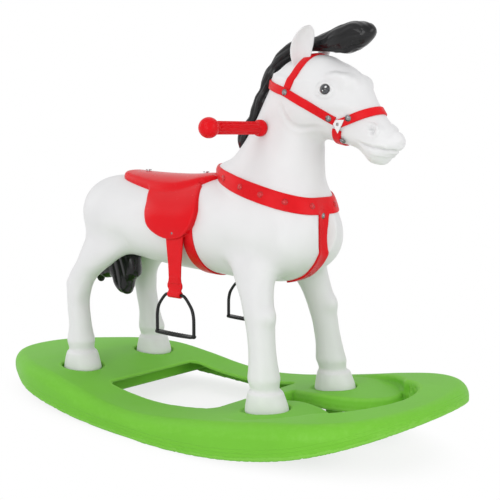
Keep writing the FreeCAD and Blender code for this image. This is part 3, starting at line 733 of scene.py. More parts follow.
collar = lay_strap("collar_strap", horse_tree, [collar_spot(d)[0] for d in range(0, 360, 5)], 15.5, True)
breast = lay_strap("breast_strap", horse_tree, [
    around(horse_tree, (196, 0, 392), (1, 0, 0), (0, 0, -1), d, 165)[0] for d in range(-16, 80, 3)],
    lambda t: 16.5 - 7.5 * max(0.0, (t - 0.35) / 0.65))
girth = lay_strap("girth_strap", horse_tree, [
    around(horse_tree, (52, 0, 376), (0, 0, -1), sideways, d, 200)[0] for d in range(-92, 93, 4)], 13)

# %% Bridle straps
def head_side(x, z, side=1):
    return touch(head_tree, (x, side * 120, z), (x, 0, z))


def half_round(middle, ahead, degrees, reach=130):
    """Touch points of a strap that runs round the head in one plane."""
    return [around(head_tree, middle, ahead, sideways, d, reach)[0] for d in degrees]


cheek_line = [(244, 626.5), (262, 618), (281, 608.5), (300, 599), (323, 586.5), (346, 574)]
near_cheek = [head_side(x, z, 1)[0] for x, z in cheek_line]
far_cheek = [head_side(x, z, -1)[0] for x, z in cheek_line]
behind = half_round((247, 0, 625), (-0.958, 0, 0.287), range(78, -79, -6))
brow = half_round((251, 0, 626), (0.42, 0, 0.907), range(84, -85, -6))
nose = half_round((350, 0, 569), (0.945, 0, 0.327), range(86, -87, -5))
chin = half_round((350, 0, 566), (-0.42, 0, -0.907), range(78, -79, -6), 58)
bridle_half = 7.4
cheek_strap = lay_strap("cheek_strap", head_tree, near_cheek[::-1] + behind + far_cheek, bridle_half)
brow_band = lay_strap("brow_band", head_tree, brow, bridle_half)
nose_band = lay_strap("nose_band", head_tree, nose, bridle_half)
chin_strap = lay_strap("chin_strap", head_tree, chin, 8.5)

# %% [markdown]
# ## Rivets by Geometry Nodes
# The straps are held by domed rivets with a thin skirt. They are all the same,
# so one small node tree makes them: it sets a dome and a skirt on every point
# of a cloud and turns them to the direction stored on that point. The cloud
# here is made from the same touch points as the straps.

# %% Node-tree helpers
class Flow:
    """A Geometry Nodes tree with named inputs, built node by node."""

    def __init__(self, name, sizes):
        self.tree = bpy.data.node_groups.new(name, "GeometryNodeTree")
        face = self.tree.interface
        face.new_socket("Geometry", in_out="INPUT", socket_type="NodeSocketGeometry")
        self.keys = {}
        for label, value in sizes.items():
            kind = "NodeSocketInt" if isinstance(value, int) else "NodeSocketFloat"
            item = face.new_socket(label, in_out="INPUT", socket_type=kind)
            self.keys[label] = item.identifier
        face.new_socket("Geometry", in_out="OUTPUT", socket_type="NodeSocketGeometry")
        self.start = self.tree.nodes.new("NodeGroupInput")
        self.sizes = sizes

    def given(self, label):
        return self.start.outputs[label]

    def add(self, kind, settings=None, **sockets):
        node = self.tree.nodes.new(kind)
        for key, value in (settings or {}).items():
            setattr(node, key, value)
        for key, value in sockets.items():
            pin = node.inputs[int(key[1:]) if key[0] == "i" and key[1:].isdigit() else key.replace("_", " ")]
            for one in (value if isinstance(value, list) else [value]):
                if isinstance(one, bpy.types.NodeSocket):
                    self.tree.links.new(one, pin)
                else:
                    pin.default_value = one
        return node.outputs[0]

    def end(self, shape, finish):
        solid = self.add("GeometryNodeRealizeInstances", Geometry=shape)
        done = self.add("GeometryNodeSetMaterial", Geometry=solid, Material=finish)
        self.tree.links.new(done, self.tree.nodes.new("NodeGroupOutput").inputs[0])

    def bake(self, piece, **values):
        """Runs the tree on an object and keeps the result as its plain mesh."""
        step = piece.modifiers.new("made", "NODES")
        step.node_group = self.tree
        for label, value in {**self.sizes, **values}.items():
            step[self.keys[label]] = value
        shown = piece.evaluated_get(bpy.context.evaluated_depsgraph_get())
        mesh = bpy.data.meshes.new_from_object(shown)
        piece.modifiers.remove(step)
        piece.data = mesh
        mesh.polygons.foreach_set("use_smooth", [True] * len(mesh.polygons))
        print(piece.name, "made by", self.tree.name, "-", len(mesh.polygons), "faces")
        return piece


# %% Placeholder finishes, filled in later
def finish_named(name):
    stuff = bpy.data.materials.new(name)
    stuff.use_nodes = True
    return stuff


white_shell, green_shell = finish_named("white_shell"), finish_named("green_shell")
red_gloss, red_vinyl = finish_named("red_gloss"), finish_named("red_vinyl")
black_hair, black_nylon = finish_named("black_hair"), finish_named("black_nylon")
steel, rivet_metal, studs = finish_named("steel"), finish_named("rivet_metal"), finish_named("studs")
white_trim, eye_gloss = finish_named("white_trim"), finish_named("eye_gloss")

# %% The rivet tree
rivets = Flow("rivets", {"Head Radius": 0.0043, "Dome": 0.55, "Skirt Radius": 0.0056, "Skirt Height": 0.0012})
ball = rivets.add("GeometryNodeMeshUVSphere", Segments=24, Rings=12, Radius=rivets.given("Head Radius"))
dome_scale = rivets.add("ShaderNodeCombineXYZ", X=1.0, Y=1.0, Z=rivets.given("Dome"))
dome = rivets.add("GeometryNodeTransform", Geometry=ball, Scale=dome_scale)
skirt = rivets.add("GeometryNodeMeshCylinder", Vertices=28, Side_Segments=1,
                   Radius=rivets.given("Skirt Radius"), Depth=rivets.given("Skirt Height"))
button = rivets.add("GeometryNodeJoinGeometry", Geometry=[dome, skirt])
facing = rivets.add("GeometryNodeInputNamedAttribute", {"data_type": "FLOAT_VECTOR"}, Name="facing")
angle = rivets.add("FunctionNodeAlignRotationToVector", {"axis": "Z"}, Vector=facing)
cloud = rivets.add("GeometryNodeInstanceOnPoints", Points=rivets.given("Geometry"),
                   Instance=button, Rotation=angle)
rivets.end(cloud, studs)


def rivet_cloud(name, places, lift, painted=0, **sizes):
    """Rivets at (spot, outward) places, raised by lift millimetres; the first few are painted."""
    spots = [np.array(s) + np.array(n) * lift for s, n in places]
    piece = to_mesh(name, spots, [])
    tag(piece, "facing", [n for _, n in places])
    tag(piece, "metal", [float(i >= painted) for i in range(len(places))])
    return rivets.bake(piece, **sizes)


# %% Rivets on the collar and the bridle
collar_places = [collar_spot(side * d) for d in (18, 44, 72, 104, 136) for side in (1, -1)]
collar_places.append(touch(horse_tree, (400, 0, 418), (200, 0, 402)))
collar_dots = rivet_cloud("collar_rivet_heads", collar_places, 3.3, painted=10)
bridle_spots = ((250, 624), (337, 579), (371, 579.5), (353, 543))
bridle_places = [head_side(x, z, side) for x, z in bridle_spots for side in (1, -1)]
bridle_dots = rivet_cloud("bridle_rivet_heads", bridle_places, 3.6)

pivot_caps = rivet_cloud("pivot_caps", [((26, side * 108.6, 369), (0, side, 0.06)) for side in (1, -1)], 0.0,
                         **{"Head Radius": 0.0030, "Skirt Radius": 0.0038, "Skirt Height": 0.0012})

# %% [markdown]
# ## The saddle
# The saddle is one glossy red moulding: a raised seat that rolls down over the
# back, and a thin skirt on each side. It grows out of the trunk's own field,
# so it fits the horse exactly: the seat is everything less than 13 mm from the
# skin inside the seat's outline, the skirts everything less than 5 mm from it.
# Lower down the skirts hang away from the belly and leave a slot behind them
# for the stirrup leathers, and the seat stops short of the collar.

# %% Saddle field
seat_rim = chart(loop_through(mirrored([
    (-200, 0), (-196, 24), (-180, 38), (-150, 48), (-115, 56), (-80, 62), (-40, 65), (0, 60), (40, 46),
    (58, 24), (60, 0)])))
skirt_rim = chart(loop_through([
    (-90, 464), (-77, 440), (-66, 420), (-58, 400), (-45, 378), (-14, 361), (18, 356), (50, 364), (69, 384),
    (75, 410), (64, 434), (48, 456), (34, 474), (-60, 474)]))
pad_height = through([-204, -190, -165, -110, -40, 20, 62], [8, 11, 12, 12.4, 12.4, 12.6, 8])
pivot_x, pivot_z = 26.0, 369.0
collar_room = 16.4


def pocket(x, y, z):
    """The slot behind the skirt in which the top of the leather hangs."""
    round_top = np.hypot(x - pivot_x, z - pivot_z) - 27
    sweep = np.minimum(round_top, np.maximum(np.abs(x - pivot_x) - 38, z - pivot_z))
    return np.maximum(sweep, np.abs(np.abs(y) - 102.5) - 2.7)


def saddle_shape(x, y, z):
    away = trunk(x, y, z)
    seat = trim(away - pad_height(x), seat_rim(x, y), 8.0)
    hang = np.clip((448 - z) / 52, 0, 1)
    room = 10.6 * hang * hang * (3 - 2 * hang) * np.clip(1 - ((x - 14) / 82) ** 4, 0, 1)
    skirt = trim(away - 5.2 - room, skirt_rim(x, z), 2.2)
    skirt = np.maximum(skirt, 1.5 * (50 - np.abs(y)))
    shape = join(seat, skirt, 7)
    shape = np.maximum(shape, -away - 2.5)
    clear = np.abs(above_joint(x, z)) - collar_room
    shape = np.maximum(shape, -np.maximum(clear, away - 9))
    return np.maximum(shape, -pocket(x, y, z))


saddle_points, saddle_faces = net(saddle_shape, (-208, -116, 350), (94, 116, 490), 2.0)
saddle_points = relax(saddle_points, saddle_faces, 1)
saddle = to_mesh("saddle_moulding", saddle_points, saddle_faces.tolist())
print("saddle quads", len(saddle_faces))

# %% [markdown]
# ## The rocker
# The green base is one boat-shaped moulding. Its deck dips in the middle and
# rises to both tips, its underside is the rocking curve, and two windows are
# cut through it. All edges are rounded by `trim`, the walls of the front
# window step inwards on the way down, and each hoof stands in a round recess.
# Underneath it is an open shell with cross ribs and a boss under each hoof.

# %% Rocker field
rocker_rim = chart(loop_through(mirrored([
    (-537, 0), (-527, 48), (-498, 90), (-430, 138), (-322, 188), (-160, 214), (0, 221), (160, 228),
    (322, 237), (420, 232), (480, 196), (520, 120), (536, 0)])))
deck_at = [-560, -537, -500, -430, -340, -250, -170, -80, 0, 80, 170, 250, 330, 410, 480, 536, 560]
deck = through(deck_at, [67, 67, 69, 73, 77, 75, 64, 50, 45, 50, 63, 76, 91, 103, 109, 111, 112])
front_rim = chart(loop_through(mirrored([
    (462, 0), (452, 56), (425, 108), (385, 138), (330, 140), (260, 120), (205, 60), (192, 0)])))
shell_wall, lip_depth, pad_level = 6.2, 26.0, 76.0
crown, rail_round, rib_half = 24.0, 7, 2.6
rock_x, rear_radius, front_radius = 53, 3300.0, 1300.0
recess_radius, boss_radius, bolt_radius = 43, 16.2, 11
rib_places = (-430, -320, -180, 160, 330, 480)


def underside(x):
    radius = np.where(x < rock_x, rear_radius, front_radius)
    return (x - rock_x) ** 2 / (2 * radius)


def ledge(depth, at, size):
    return size * np.clip((depth - at) / 5.0 + 0.5, 0, 1)


def boat(x, y, z, lobes, hole, inset):
    """The boat as one block: crowned rails, and level pads sunk between them."""
    block = trim(rocker_rim(x, y) + inset, (z - deck(x)) * 0.985 + inset, crown - inset)
    sunk = trim(np.minimum(lobes, hole) - inset, pad_level - inset - z, rail_round)
    return trim(block, -sunk, rail_round)


def rocker_shape(x, y, z):
    lobes = oval(x - 268, np.abs(y) - 112, 118.0, 86.0)
    hole = front_rim(x, y)
    depth = np.where(lobes < 14, np.minimum(deck(x), pad_level), deck(x)) - z
    front = np.maximum(hole, -lobes) + ledge(depth, 10, 3.0) + ledge(depth, 19, 3.0)
    cavity = boat(x, y, z, lobes, hole, shell_wall)
    cavity = np.maximum(cavity, -np.maximum(front - 1.5 * shell_wall, depth - lip_depth))
    for at in rib_places:
        cavity = np.maximum(cavity, -np.maximum(np.abs(x - at) - rib_half, underside(x) + 16 - z))
    for hx, hy in hooves:
        away = np.hypot(x - hx, y - hy)
        cavity = np.maximum(cavity, -np.maximum(away - recess_radius - shell_wall, hoof_floor - shell_wall - z))
        cavity = np.maximum(cavity, boss_radius - away)
    shape = trim(boat(x, y, z, lobes, hole, 0.0), underside(x) - z, 1.6)
    shape = np.maximum(shape, -cavity)
    window = np.hypot(np.maximum(np.abs(x) - 125, 0), np.maximum(np.abs(y) - 104, 0)) - 20
    window = np.maximum(window, np.maximum(np.abs(x) - 145, np.abs(y) - 124))
    shape = trim(shape, -window, 2.5)
    shape = trim(shape, -front, 9)
    for hx, hy in hooves:
        away = np.hypot(x - hx, y - hy)
        shape = trim(shape, -np.maximum(away - recess_radius, hoof_floor - z), 2.5)
        shape = np.maximum(shape, -np.maximum(away - bolt_radius, z - 52))
    return shape


rocker_points, rocker_faces = net(rocker_shape, (-542, -242, -4), (541, 242, 118), 3.6)
rocker = to_mesh("rocker_moulding", rocker_points, rocker_faces.tolist())
along, aside, height = rocker_points.T
tag(rocker, "above_edge", (height - underside(along)) * 0.001)
tag(rocker, "inset", -rocker_rim(along, aside) * 0.001)
print("rocker quads", len(rocker_faces), "lowest", round(rocker_points[:, 2].min(), 2))

# %% [markdown]
# ## Hair
# Mane, forelock and tail are solid black mouldings with wavy strands pressed
# into them. Mane and forelock are tubes of ovals along a bent line. Their
# strands run along the tube while they wander slowly round it, so the surface
# looks combed rather than turned. The tail is a field: a round dock that runs
# into a flat brush, cut out along its own outline.

# %% Hair maker
def lock(name, rows, strands, depth, swirl, seed, swell_size=0.045, sides=84, gap=2.2):
    """A tube of ovals (X, Z, tilt, half depth, half width, Y) with combed strands."""
    table = np.array(rows, float)
    run = np.append(0, np.cumsum(np.hypot(np.diff(table[:, 0]), np.diff(table[:, 1]))))
    at = np.linspace(0, run[-1], int(run[-1] / gap) + 1)
    cx, cz, tilt, deep, half, cy = (through(run, table[:, i])(at) for i in range(6))
    rng = np.random.default_rng(seed)
    shift, size = rng.uniform(0, 6.28, strands), rng.uniform(0.75, 1.25, strands)
    place = np.cumsum(size) / size.sum() * 2 * math.pi
    a = np.linspace(0, 2 * math.pi, sides, endpoint=False)
    corners = []
    for i, s in enumerate(at):
        t = s / run[-1]
        lean = math.radians(tilt[i])
        across = np.array([math.sin(lean), 0, -math.cos(lean)])
        wander = swirl * t + 0.22 * math.sin(9 * t + shift[0]) + 0.12 * math.sin(23 * t + shift[1])
        gaps = np.abs((a[:, None] - place[None, :] - wander + math.pi) % (2 * math.pi) - math.pi)
        furrow = np.exp(-(gaps.min(1) / (1.15 / strands)) ** 2)
        fine = 0.018 * np.sin(strands * 3.3 * (a - wander) + 3 * math.sin(7 * t + shift[-1]))
        wave = 1 + swell_size * np.sin(16 * t + 2 * np.cos(a - wander) + shift[0])
        fade = min(1.0, t * 7 + 0.2, (1 - t) * 7 + 0.2)
        r = wave * (1 - fade * (depth * furrow - fine))
        ring = (np.array([cx[i], cy[i], cz[i]])[None] + across[None] * (deep[i] * np.cos(a) * r)[:, None]
                + sideways[None] * (half[i] * np.sin(a) * r)[:, None])
        corners.append(ring)
    first, last = corners[0].mean(0), corners[-1].mean(0)
    points = np.concatenate(corners + [first[None], last[None]])
    n = len(corners)
    faces = tube_faces(n, sides)[:-2]
    faces += [(n * sides, (j + 1) % sides, j) for j in range(sides)]
    faces += [(n * sides + 1, (n - 1) * sides + j, (n - 1) * sides + (j + 1) % sides) for j in range(sides)]
    piece = to_mesh(name, points, faces)
    flow = np.zeros((len(points), 3))
    flow[:n * sides, 0] = np.tile(np.cos(a), n) * 3.2
    flow[:n * sides, 1] = np.tile(np.sin(a), n) * 3.2
    flow[:n * sides, 2] = np.repeat(at, sides) * 0.012
    tag(piece, "comb", flow)
    outward(piece)
    return piece


def outward(piece):
    """Turns a closed mesh the right way out, judged by the sign of its volume."""
    mesh = piece.data
    mesh.calc_loop_triangles()
    p = np.array([v.co for v in mesh.vertices])
    t = np.array([tri.vertices for tri in mesh.loop_triangles])
    volume = np.einsum("ij,ij->i", p[t[:, 0]], np.cross(p[t[:, 1]], p[t[:, 2]])).sum() / 6
    if volume < 0:
        mesh.flip_normals()
    print(piece.name, round(abs(volume) * 1e6, 1), "cm3")


# %% Mane and forelock
mane = lock("mane_hair", [
    (104, 526, 60, 5, 6, 0), (109, 535, 62, 12, 13, 0), (118, 549, 62, 16, 17, -1), (127, 566, 60, 14, 16, 0),
    (136, 580, 58, 11, 14, 1), (146, 596, 56, 15, 17, 0), (156, 614, 58, 15, 17, -1), (164, 630, 59, 12, 14, 0),
    (172, 646, 60, 15, 17, 1), (181, 660, 57, 15, 17, 0), (190, 673, 54, 12, 15, 0), (204, 687, 45, 15, 17, 0),
    (222, 700, 28, 14, 16, 0), (240, 707, 14, 12, 14, 0), (262, 710, 6, 12, 13, 0)], 7, 0.11, 0.9, 3)
forelock = lock("forelock_hair", [
    (240, 706, 6, 9, 12, 0), (252, 706.5, 7, 10.5, 13, 0), (266, 707, 8, 11.5, 14, 0),
    (282, 708, 12, 13.5, 15, 0), (300, 710, 14, 17, 17, 0), (321, 711, 14, 22, 20, 0),
    (342, 713, 10, 26, 22, 0), (360, 716.5, 2, 25.5, 22, 0),
    (374, 717.5, -10, 22.5, 20, 0), (384, 717.5, -18, 19, 18, 0), (391, 717, -24, 13.5, 13, 0),
    (395, 716.6, -28, 7.5, 7.5, 0), (396.3, 716.5, -28, 3, 3, 0)], 4, 0.035, 0.4, 5, 0.012)

# %% Tail
tail_line = [(-298, 426, 8), (-306, 418, 12), (-316, 400, 15), (-323, 375, 17.5), (-324, 345, 19),
             (-320, 312, 19.5), (-312, 282, 18), (-306, 258, 13), (-303, 240, 6)]
brush_half = 19
brush_rim = chart(loop_through([
    (-324, 340), (-322, 300), (-314, 268), (-306, 236), (-296, 244), (-278, 243), (-262, 248), (-254, 232),
    (-236, 217), (-218, 214), (-208, 225), (-203, 243), (-194, 250), (-186, 258), (-184, 276), (-188, 302),
    (-222, 330), (-272, 350)]), 40, 1.0)


def tail_shape(x, y, z):
    drop = np.full(x.shape, 1e9)
    for (ax, az, ar), (bx, bz, br) in zip(tail_line, tail_line[1:]):
        dx, dz = bx - ax, bz - az
        t = np.clip(((x - ax) * dx + (z - az) * dz) / (dx ** 2 + dz ** 2), 0, 1)
        away = np.hypot(np.hypot(x - ax - t * dx, z - az - t * dz), y)
        drop = np.minimum(drop, away - ar - t * (br - ar))
    brush = np.hypot(np.maximum(brush_rim(x, z) + brush_half, 0), y) - brush_half
    return join(drop, brush, 8)


tail_points, tail_faces = net(tail_shape, (-350, -26, 206), (-174, 26, 440), 1.9)
out = skin_normals(tail_points, tail_faces)
ring = (tail_points[:, 0] + 0.45 * tail_points[:, 2] + 5 * np.sin(tail_points[:, 2] / 26)
        + 0.25 * tail_points[:, 1])
lump = np.abs(np.sin(ring * math.pi / 21)) ** 0.7
tail_points = tail_points + out * (1.5 * (lump - 0.8))[:, None]
tail_points = relax(tail_points, tail_faces, 1)
tail = to_mesh("tail_hair", tail_points, tail_faces.tolist())
tag(tail, "comb", np.stack([ring * 0.22, tail_points[:, 1] * 0.12, tail_points[:, 2] * 0.012], 1))
print("tail quads", len(tail_faces))

# %% [markdown]
# ## Ears and eyes
# An ear is a leaf of soft plastic: convex behind and cupped in front, so its
# cross-section is a crescent. Rings of that crescent are stacked from the root
# to the tip. The eye is a glossy dome set into its socket.

# %% Ears
def crescent(count):
    """Cross-section of an ear: rounded back, cupped front, in units of its size."""
    corners = []
    for i in range(count):
        a = 2 * math.pi * i / count
        s = math.sin(a)
        deep = s if s >= 0 else -1.5 * abs(s) * (1 - abs(s)) + 0.34 * s * s
        corners.append((math.cos(a), deep))
    return corners


def make_ear(name, side):
    root, tip = np.array([262.0, side * 27, 664]), np.array([295.0, side * 43, 736])
    axis = unit(tip - root)
    wide = np.array([0.80, side * -0.45, 0.0])
    wide = unit(wide - axis * (wide @ axis))
    front = np.cross(axis, wide)
    if front[0] * 0.5 + front[1] * side < 0:
        front = -front
    across, deep = (through([0, 0.12, 0.3, 0.5, 0.7, 0.86, 0.96, 1.0], v) for v in (
        [11, 14, 17.5, 19, 17.5, 13, 7, 1.0], [8, 9, 9.8, 9.6, 8.8, 7, 4, 0.9]))
    corners = []
    for t in np.linspace(0, 1, 44):
        middle = root + (tip - root) * t + np.array([-7.0 * math.sin(math.pi * t), 0, 0])
        for u, v in crescent(48):
            corners.append(middle + wide * u * across(t) - front * v * deep(t))
    ear = to_mesh(name, corners, tube_faces(44, 48))
    outward(ear)
    return ear


ears = {side: make_ear("ear_leaf_" + word, side) for word, side in hands}

# %% Eyes
eye_radius = 11.4


def make_eye(name, side):
    """A dome, its pole outwards, with a slightly raised clear front."""
    middle = np.array([327.0, side * 37.4, 627])
    out = unit(np.array([0.30, side * 0.95, 0.06]))
    right = unit(np.cross(out, [0, 0, 1.0]))
    above = np.cross(right, out)
    rings, sides = 26, 40
    corners = []
    for i in range(rings):
        b = math.pi * (i + 0.5) / rings
        r = eye_radius * (1 + 0.05 * max(0.0, math.cos(b)) ** 6)
        for j in range(sides):
            a = 2 * math.pi * j / sides
            spoke = right * math.cos(a) * 1.08 + above * math.sin(a)
            corners.append(middle + out * r * math.cos(b) + spoke * r * math.sin(b))
    eye = to_mesh(name, corners, tube_faces(rings, sides))
    outward(eye)
    spots = (np.array(corners) - middle) / eye_radius
    tag(eye, "gaze", np.stack([spots @ right, spots @ above, spots @ out], 1))
    return eye


eyes = {side: make_eye("eye_dome_" + word, side) for word, side in hands}

# %% [markdown]
# ## Hand grips
# Each grip is a red vinyl sleeve on a steel tube: a flared collar against the
# neck, a ribbed shaft and a ball at the end. The plain shape is turned like
# wood on a lathe from one half outline. The ribs all follow the shaft, so a
# node tree sets them round it.

# %% Turned sleeve
handle_x, handle_z, ball_y, ball_radius = 196, 563, 188, 17.8


def turned(name, outline, side, sides=72):
    """A solid of revolution about the handle; outline is (distance out, radius)."""
    corners = []
    for y, r in outline:
        for j in range(sides):
            a = 2 * math.pi * j / sides
            corners.append((handle_x + r * math.cos(a), side * y, handle_z + r * math.sin(a)))
    piece = to_mesh(name, corners, tube_faces(len(outline), sides))
    outward(piece)
    return piece


grip_outline = [(50.6, 8.4), (50.6, 12.2), (51.2, 13.6), (52.4, 14.6), (54, 15.0), (58, 15.0), (60, 14.6),
                (61.6, 13.4), (62.6, 11.9), (64, 10.9), (67, 10.5), (90, 10.5), (120, 10.6), (150, 10.6),
                (166, 10.6), (170, 10.9), (172.4, 11.8)]
for degrees in range(36, 178, 6):
    a = math.radians(degrees)
    grip_outline.append((ball_y - ball_radius * math.cos(a), max(ball_radius * math.sin(a), 0.3)))
grips = {side: turned("grip_sleeve_" + word, grip_outline, side) for word, side in hands}

# %% Ribs along the shaft
rib_middle = 0.1185
ribs = Flow("grip_ribs", {"Ribs": 14, "Ring Radius": 0.0104, "Rib Radius": 0.00135, "Length": 0.100,
                          "Middle": rib_middle})
line = ribs.add("GeometryNodeCurvePrimitiveLine", Start=(0, 0, 0), End=(0, 0, 1))
stretch = ribs.add("ShaderNodeCombineXYZ", X=1.0, Y=1.0, Z=ribs.given("Length"))
cut = ribs.add("GeometryNodeResampleCurve", Curve=line, Count=24)
spine = ribs.add("GeometryNodeTransform", Geometry=cut, Scale=stretch)
profile = ribs.add("GeometryNodeCurvePrimitiveCircle", Resolution=12, Radius=ribs.given("Rib Radius"))
rib = ribs.add("GeometryNodeCurveToMesh", Curve=spine, Profile_Curve=profile, Fill_Caps=True)
half_length = ribs.add("ShaderNodeMath", {"operation": "MULTIPLY"}, i0=ribs.given("Length"), i1=-0.5)
back = ribs.add("ShaderNodeCombineXYZ", X=0.0, Y=0.0, Z=half_length)
centred = ribs.add("GeometryNodeTransform", Geometry=rib, Translation=back)
hoop = ribs.add("GeometryNodeMeshCircle", Vertices=ribs.given("Ribs"), Radius=ribs.given("Ring Radius"))
placed = ribs.add("GeometryNodeInstanceOnPoints", Points=hoop, Instance=centred)
shift = ribs.add("ShaderNodeCombineXYZ", X=0.196, Y=ribs.given("Middle"), Z=0.563)
laid = ribs.add("GeometryNodeTransform", Geometry=placed, Rotation=(math.pi / 2, 0, 0), Translation=shift)
ribs.end(ribs.add("GeometryNodeJoinGeometry", Geometry=[ribs.given("Geometry"), laid]), red_gloss)
for side, grip in grips.items():
    ribs.bake(grip, Middle=rib_middle * side)

# %% [markdown]
# ## Stirrups and their leathers
# The leather is a thick vinyl strap that hangs from a rivet, narrows to a
# waist, and widens into the loop that holds the stirrup bar. The stirrup is a
# bent round bar with a flat tread. Both are small, so their fields are walked
# with a fine grid, which rounds every edge.

# %% Leathers
leather_half = [(18, 0), (17, 7), (14, 14), (8, 20), (0, 23), (-30, 20), (-60, 16.5), (-86, 15.3), (-93, 16.6),
                (-98, 19), (-103, 19), (-108, 16), (-121, 16)]
leather_y, bar_z = 102.3, 252
leather_rim = np.array([(pivot_x + w, pivot_z + h) for h, w in leather_half]
                       + [(pivot_x - w, pivot_z + h) for h, w in leather_half[:0:-1]])
leather_chart = chart(leather_rim, 12, 0.6)


def leather_shape(side):
    middle = side * leather_y

    def field(x, y, z):
        flat = trim(leather_chart(x, z), np.abs(y - middle) - 2.0, 1.1)
        rod = trim(np.hypot(y - middle, z - bar_z) - 6.4, np.abs(x - pivot_x) - 15.8, 1.5)
        keep = trim(np.abs(x - pivot_x) - 13, np.abs(y - middle - side * 1.6) - 1.7, 1.0)
        keep = trim(keep, np.abs(z - 279) - 6, 1.0)
        rim = np.abs(leather_chart(x, z) + 3.0) - 0.55
        press = np.maximum(rim, 1.55 - np.abs(y - middle))
        shape = join(join(np.maximum(flat, -press), rod, 2.5), keep, 0.8)
        return np.maximum(shape, 3.05 - np.hypot(y - middle, z - bar_z))
    return field


def stirrup_shape(side):
    middle = side * leather_y
    bar_half, tight, wide = 17, 14.8, 64.9
    bends = [(0, bar_z)]
    turn = math.radians(50)
    for i in range(9):
        a = turn * i / 8
        bends.append((bar_half + tight * math.sin(a), bar_z - tight + tight * math.cos(a)))
    hub = (bar_half + (tight - wide) * math.sin(turn), bar_z - tight + (tight - wide) * math.cos(turn))
    for i in range(1, 13):
        a = turn + (math.pi / 2 - turn) * i / 12
        bends.append((hub[0] + wide * math.sin(a), hub[1] + wide * math.cos(a)))
    bends.append((hub[0] + wide, 176.5))

    def field(x, y, z):
        u = np.abs(x - pivot_x) / (1 + 0.12 * np.clip((250 - z) / 22, 0, 1))
        best = np.full(x.shape, 1e9)
        for (ax, az), (bx, bz) in zip(bends, bends[1:]):
            dx, dz = bx - ax, bz - az
            t = np.clip(((u - ax) * dx + (z - az) * dz) / (dx * dx + dz * dz), 0, 1)
            best = np.minimum(best, (u - ax - t * dx) ** 2 + (z - az - t * dz) ** 2)
        wire = np.sqrt(best + (y - middle) ** 2) - 3.0
        corner = np.hypot(np.maximum(u - 39, 0), np.maximum(np.abs(y - middle) - 2.5, 0)) - 6
        tread = trim(corner, np.abs(z - (176.6 - 1.4 * (1 - (u / 45) ** 2))) - 2.4, 1.4)
        return join(wire, tread, 2.5)
    return field


leathers, stirrups = {}, {}
for word, side in hands:
    y = side * leather_y
    points, faces = net(leather_shape(side), (0, y - 9, 242), (52, y + 9, 390), 0.9)
    leathers[side] = to_mesh("leather_strap_" + word, points, faces.tolist())
    points, faces = net(stirrup_shape(side), (-30, y - 11, 169), (82, y + 11, 258), 1.0)
    stirrups[side] = to_mesh("stirrup_iron_" + word, points, faces.tolist())
    print(word, "leather and stirrup quads", len(leathers[side].data.polygons), len(faces))

# %% Ridges on the treads
ridges = Flow("tread_ridges", {"Ridges": 11, "Spacing": 0.0068, "Width": 0.0125, "Ridge Radius": 0.0009,
                               "Side": 0.1023})
bar = ridges.add("GeometryNodeMeshCylinder", Vertices=10, Side_Segments=6, Radius=ridges.given("Ridge Radius"),
                 Depth=ridges.given("Width"))
row_length = ridges.add("ShaderNodeCombineXYZ", X=ridges.given("Spacing"), Y=0.0, Z=0.0)
row = ridges.add("GeometryNodeMeshLine", Count=ridges.given("Ridges"), Offset=row_length)
lugs = ridges.add("GeometryNodeInstanceOnPoints", Points=row, Instance=bar, Rotation=(math.pi / 2, 0, 0))
spread = ridges.add("ShaderNodeMath", {"operation": "MULTIPLY"}, i0=ridges.given("Spacing"), i1=-5.0)
left_end = ridges.add("ShaderNodeMath", {"operation": "ADD"}, i0=spread, i1=0.026)
row_place = ridges.add("ShaderNodeCombineXYZ", X=left_end, Y=ridges.given("Side"), Z=0.17765)
lugs = ridges.add("GeometryNodeTransform", Geometry=lugs, Translation=row_place)
ridges.end(ridges.add("GeometryNodeJoinGeometry", Geometry=[ridges.given("Geometry"), lugs]), black_nylon)
for side, iron in stirrups.items():
    ridges.bake(iron, Side=0.1023 * side)

# %% [markdown]
# ## Bridle rings
# Where the four bridle straps meet, a small white triangle with soft corners
# and a hole lies over them. It is a few millimetres across, so its field is
# simply three rounded sides, a thickness and a hole.

# %% Rings
ring_x, ring_z = 352.5, 568.5


def ring_shape(side, level):
    def field(x, y, z):
        u, w = x - ring_x, z - ring_z
        edge = np.maximum.reduce([u * math.cos(a) + w * math.sin(a) for a in map(math.radians, (-30, 210, 90))])
        plate = trim(edge - 7.6, np.abs(y - level) - 1.5, 1.2)
        return trim(plate, 3.1 - np.hypot(u, w), 0.7)
    return field


rings = {}
for word, side in hands:
    level = head_side(ring_x, ring_z, side)[0][1] + side * 4.6
    points, faces = net(ring_shape(side, level), (334, level - 3, 550), (371, level + 3, 588), 0.6)
    rings[side] = to_mesh("bridle_ring_plate_" + word, points, faces.tolist())
print("ring level", round(level, 1))

# %% [markdown]
# ## Shader maths in plain Python
# A material is a small network of nodes. Written as sums it is easier to
# read, so the class below wraps a node's output, and adding or multiplying
# two of them adds the Math node that does it.

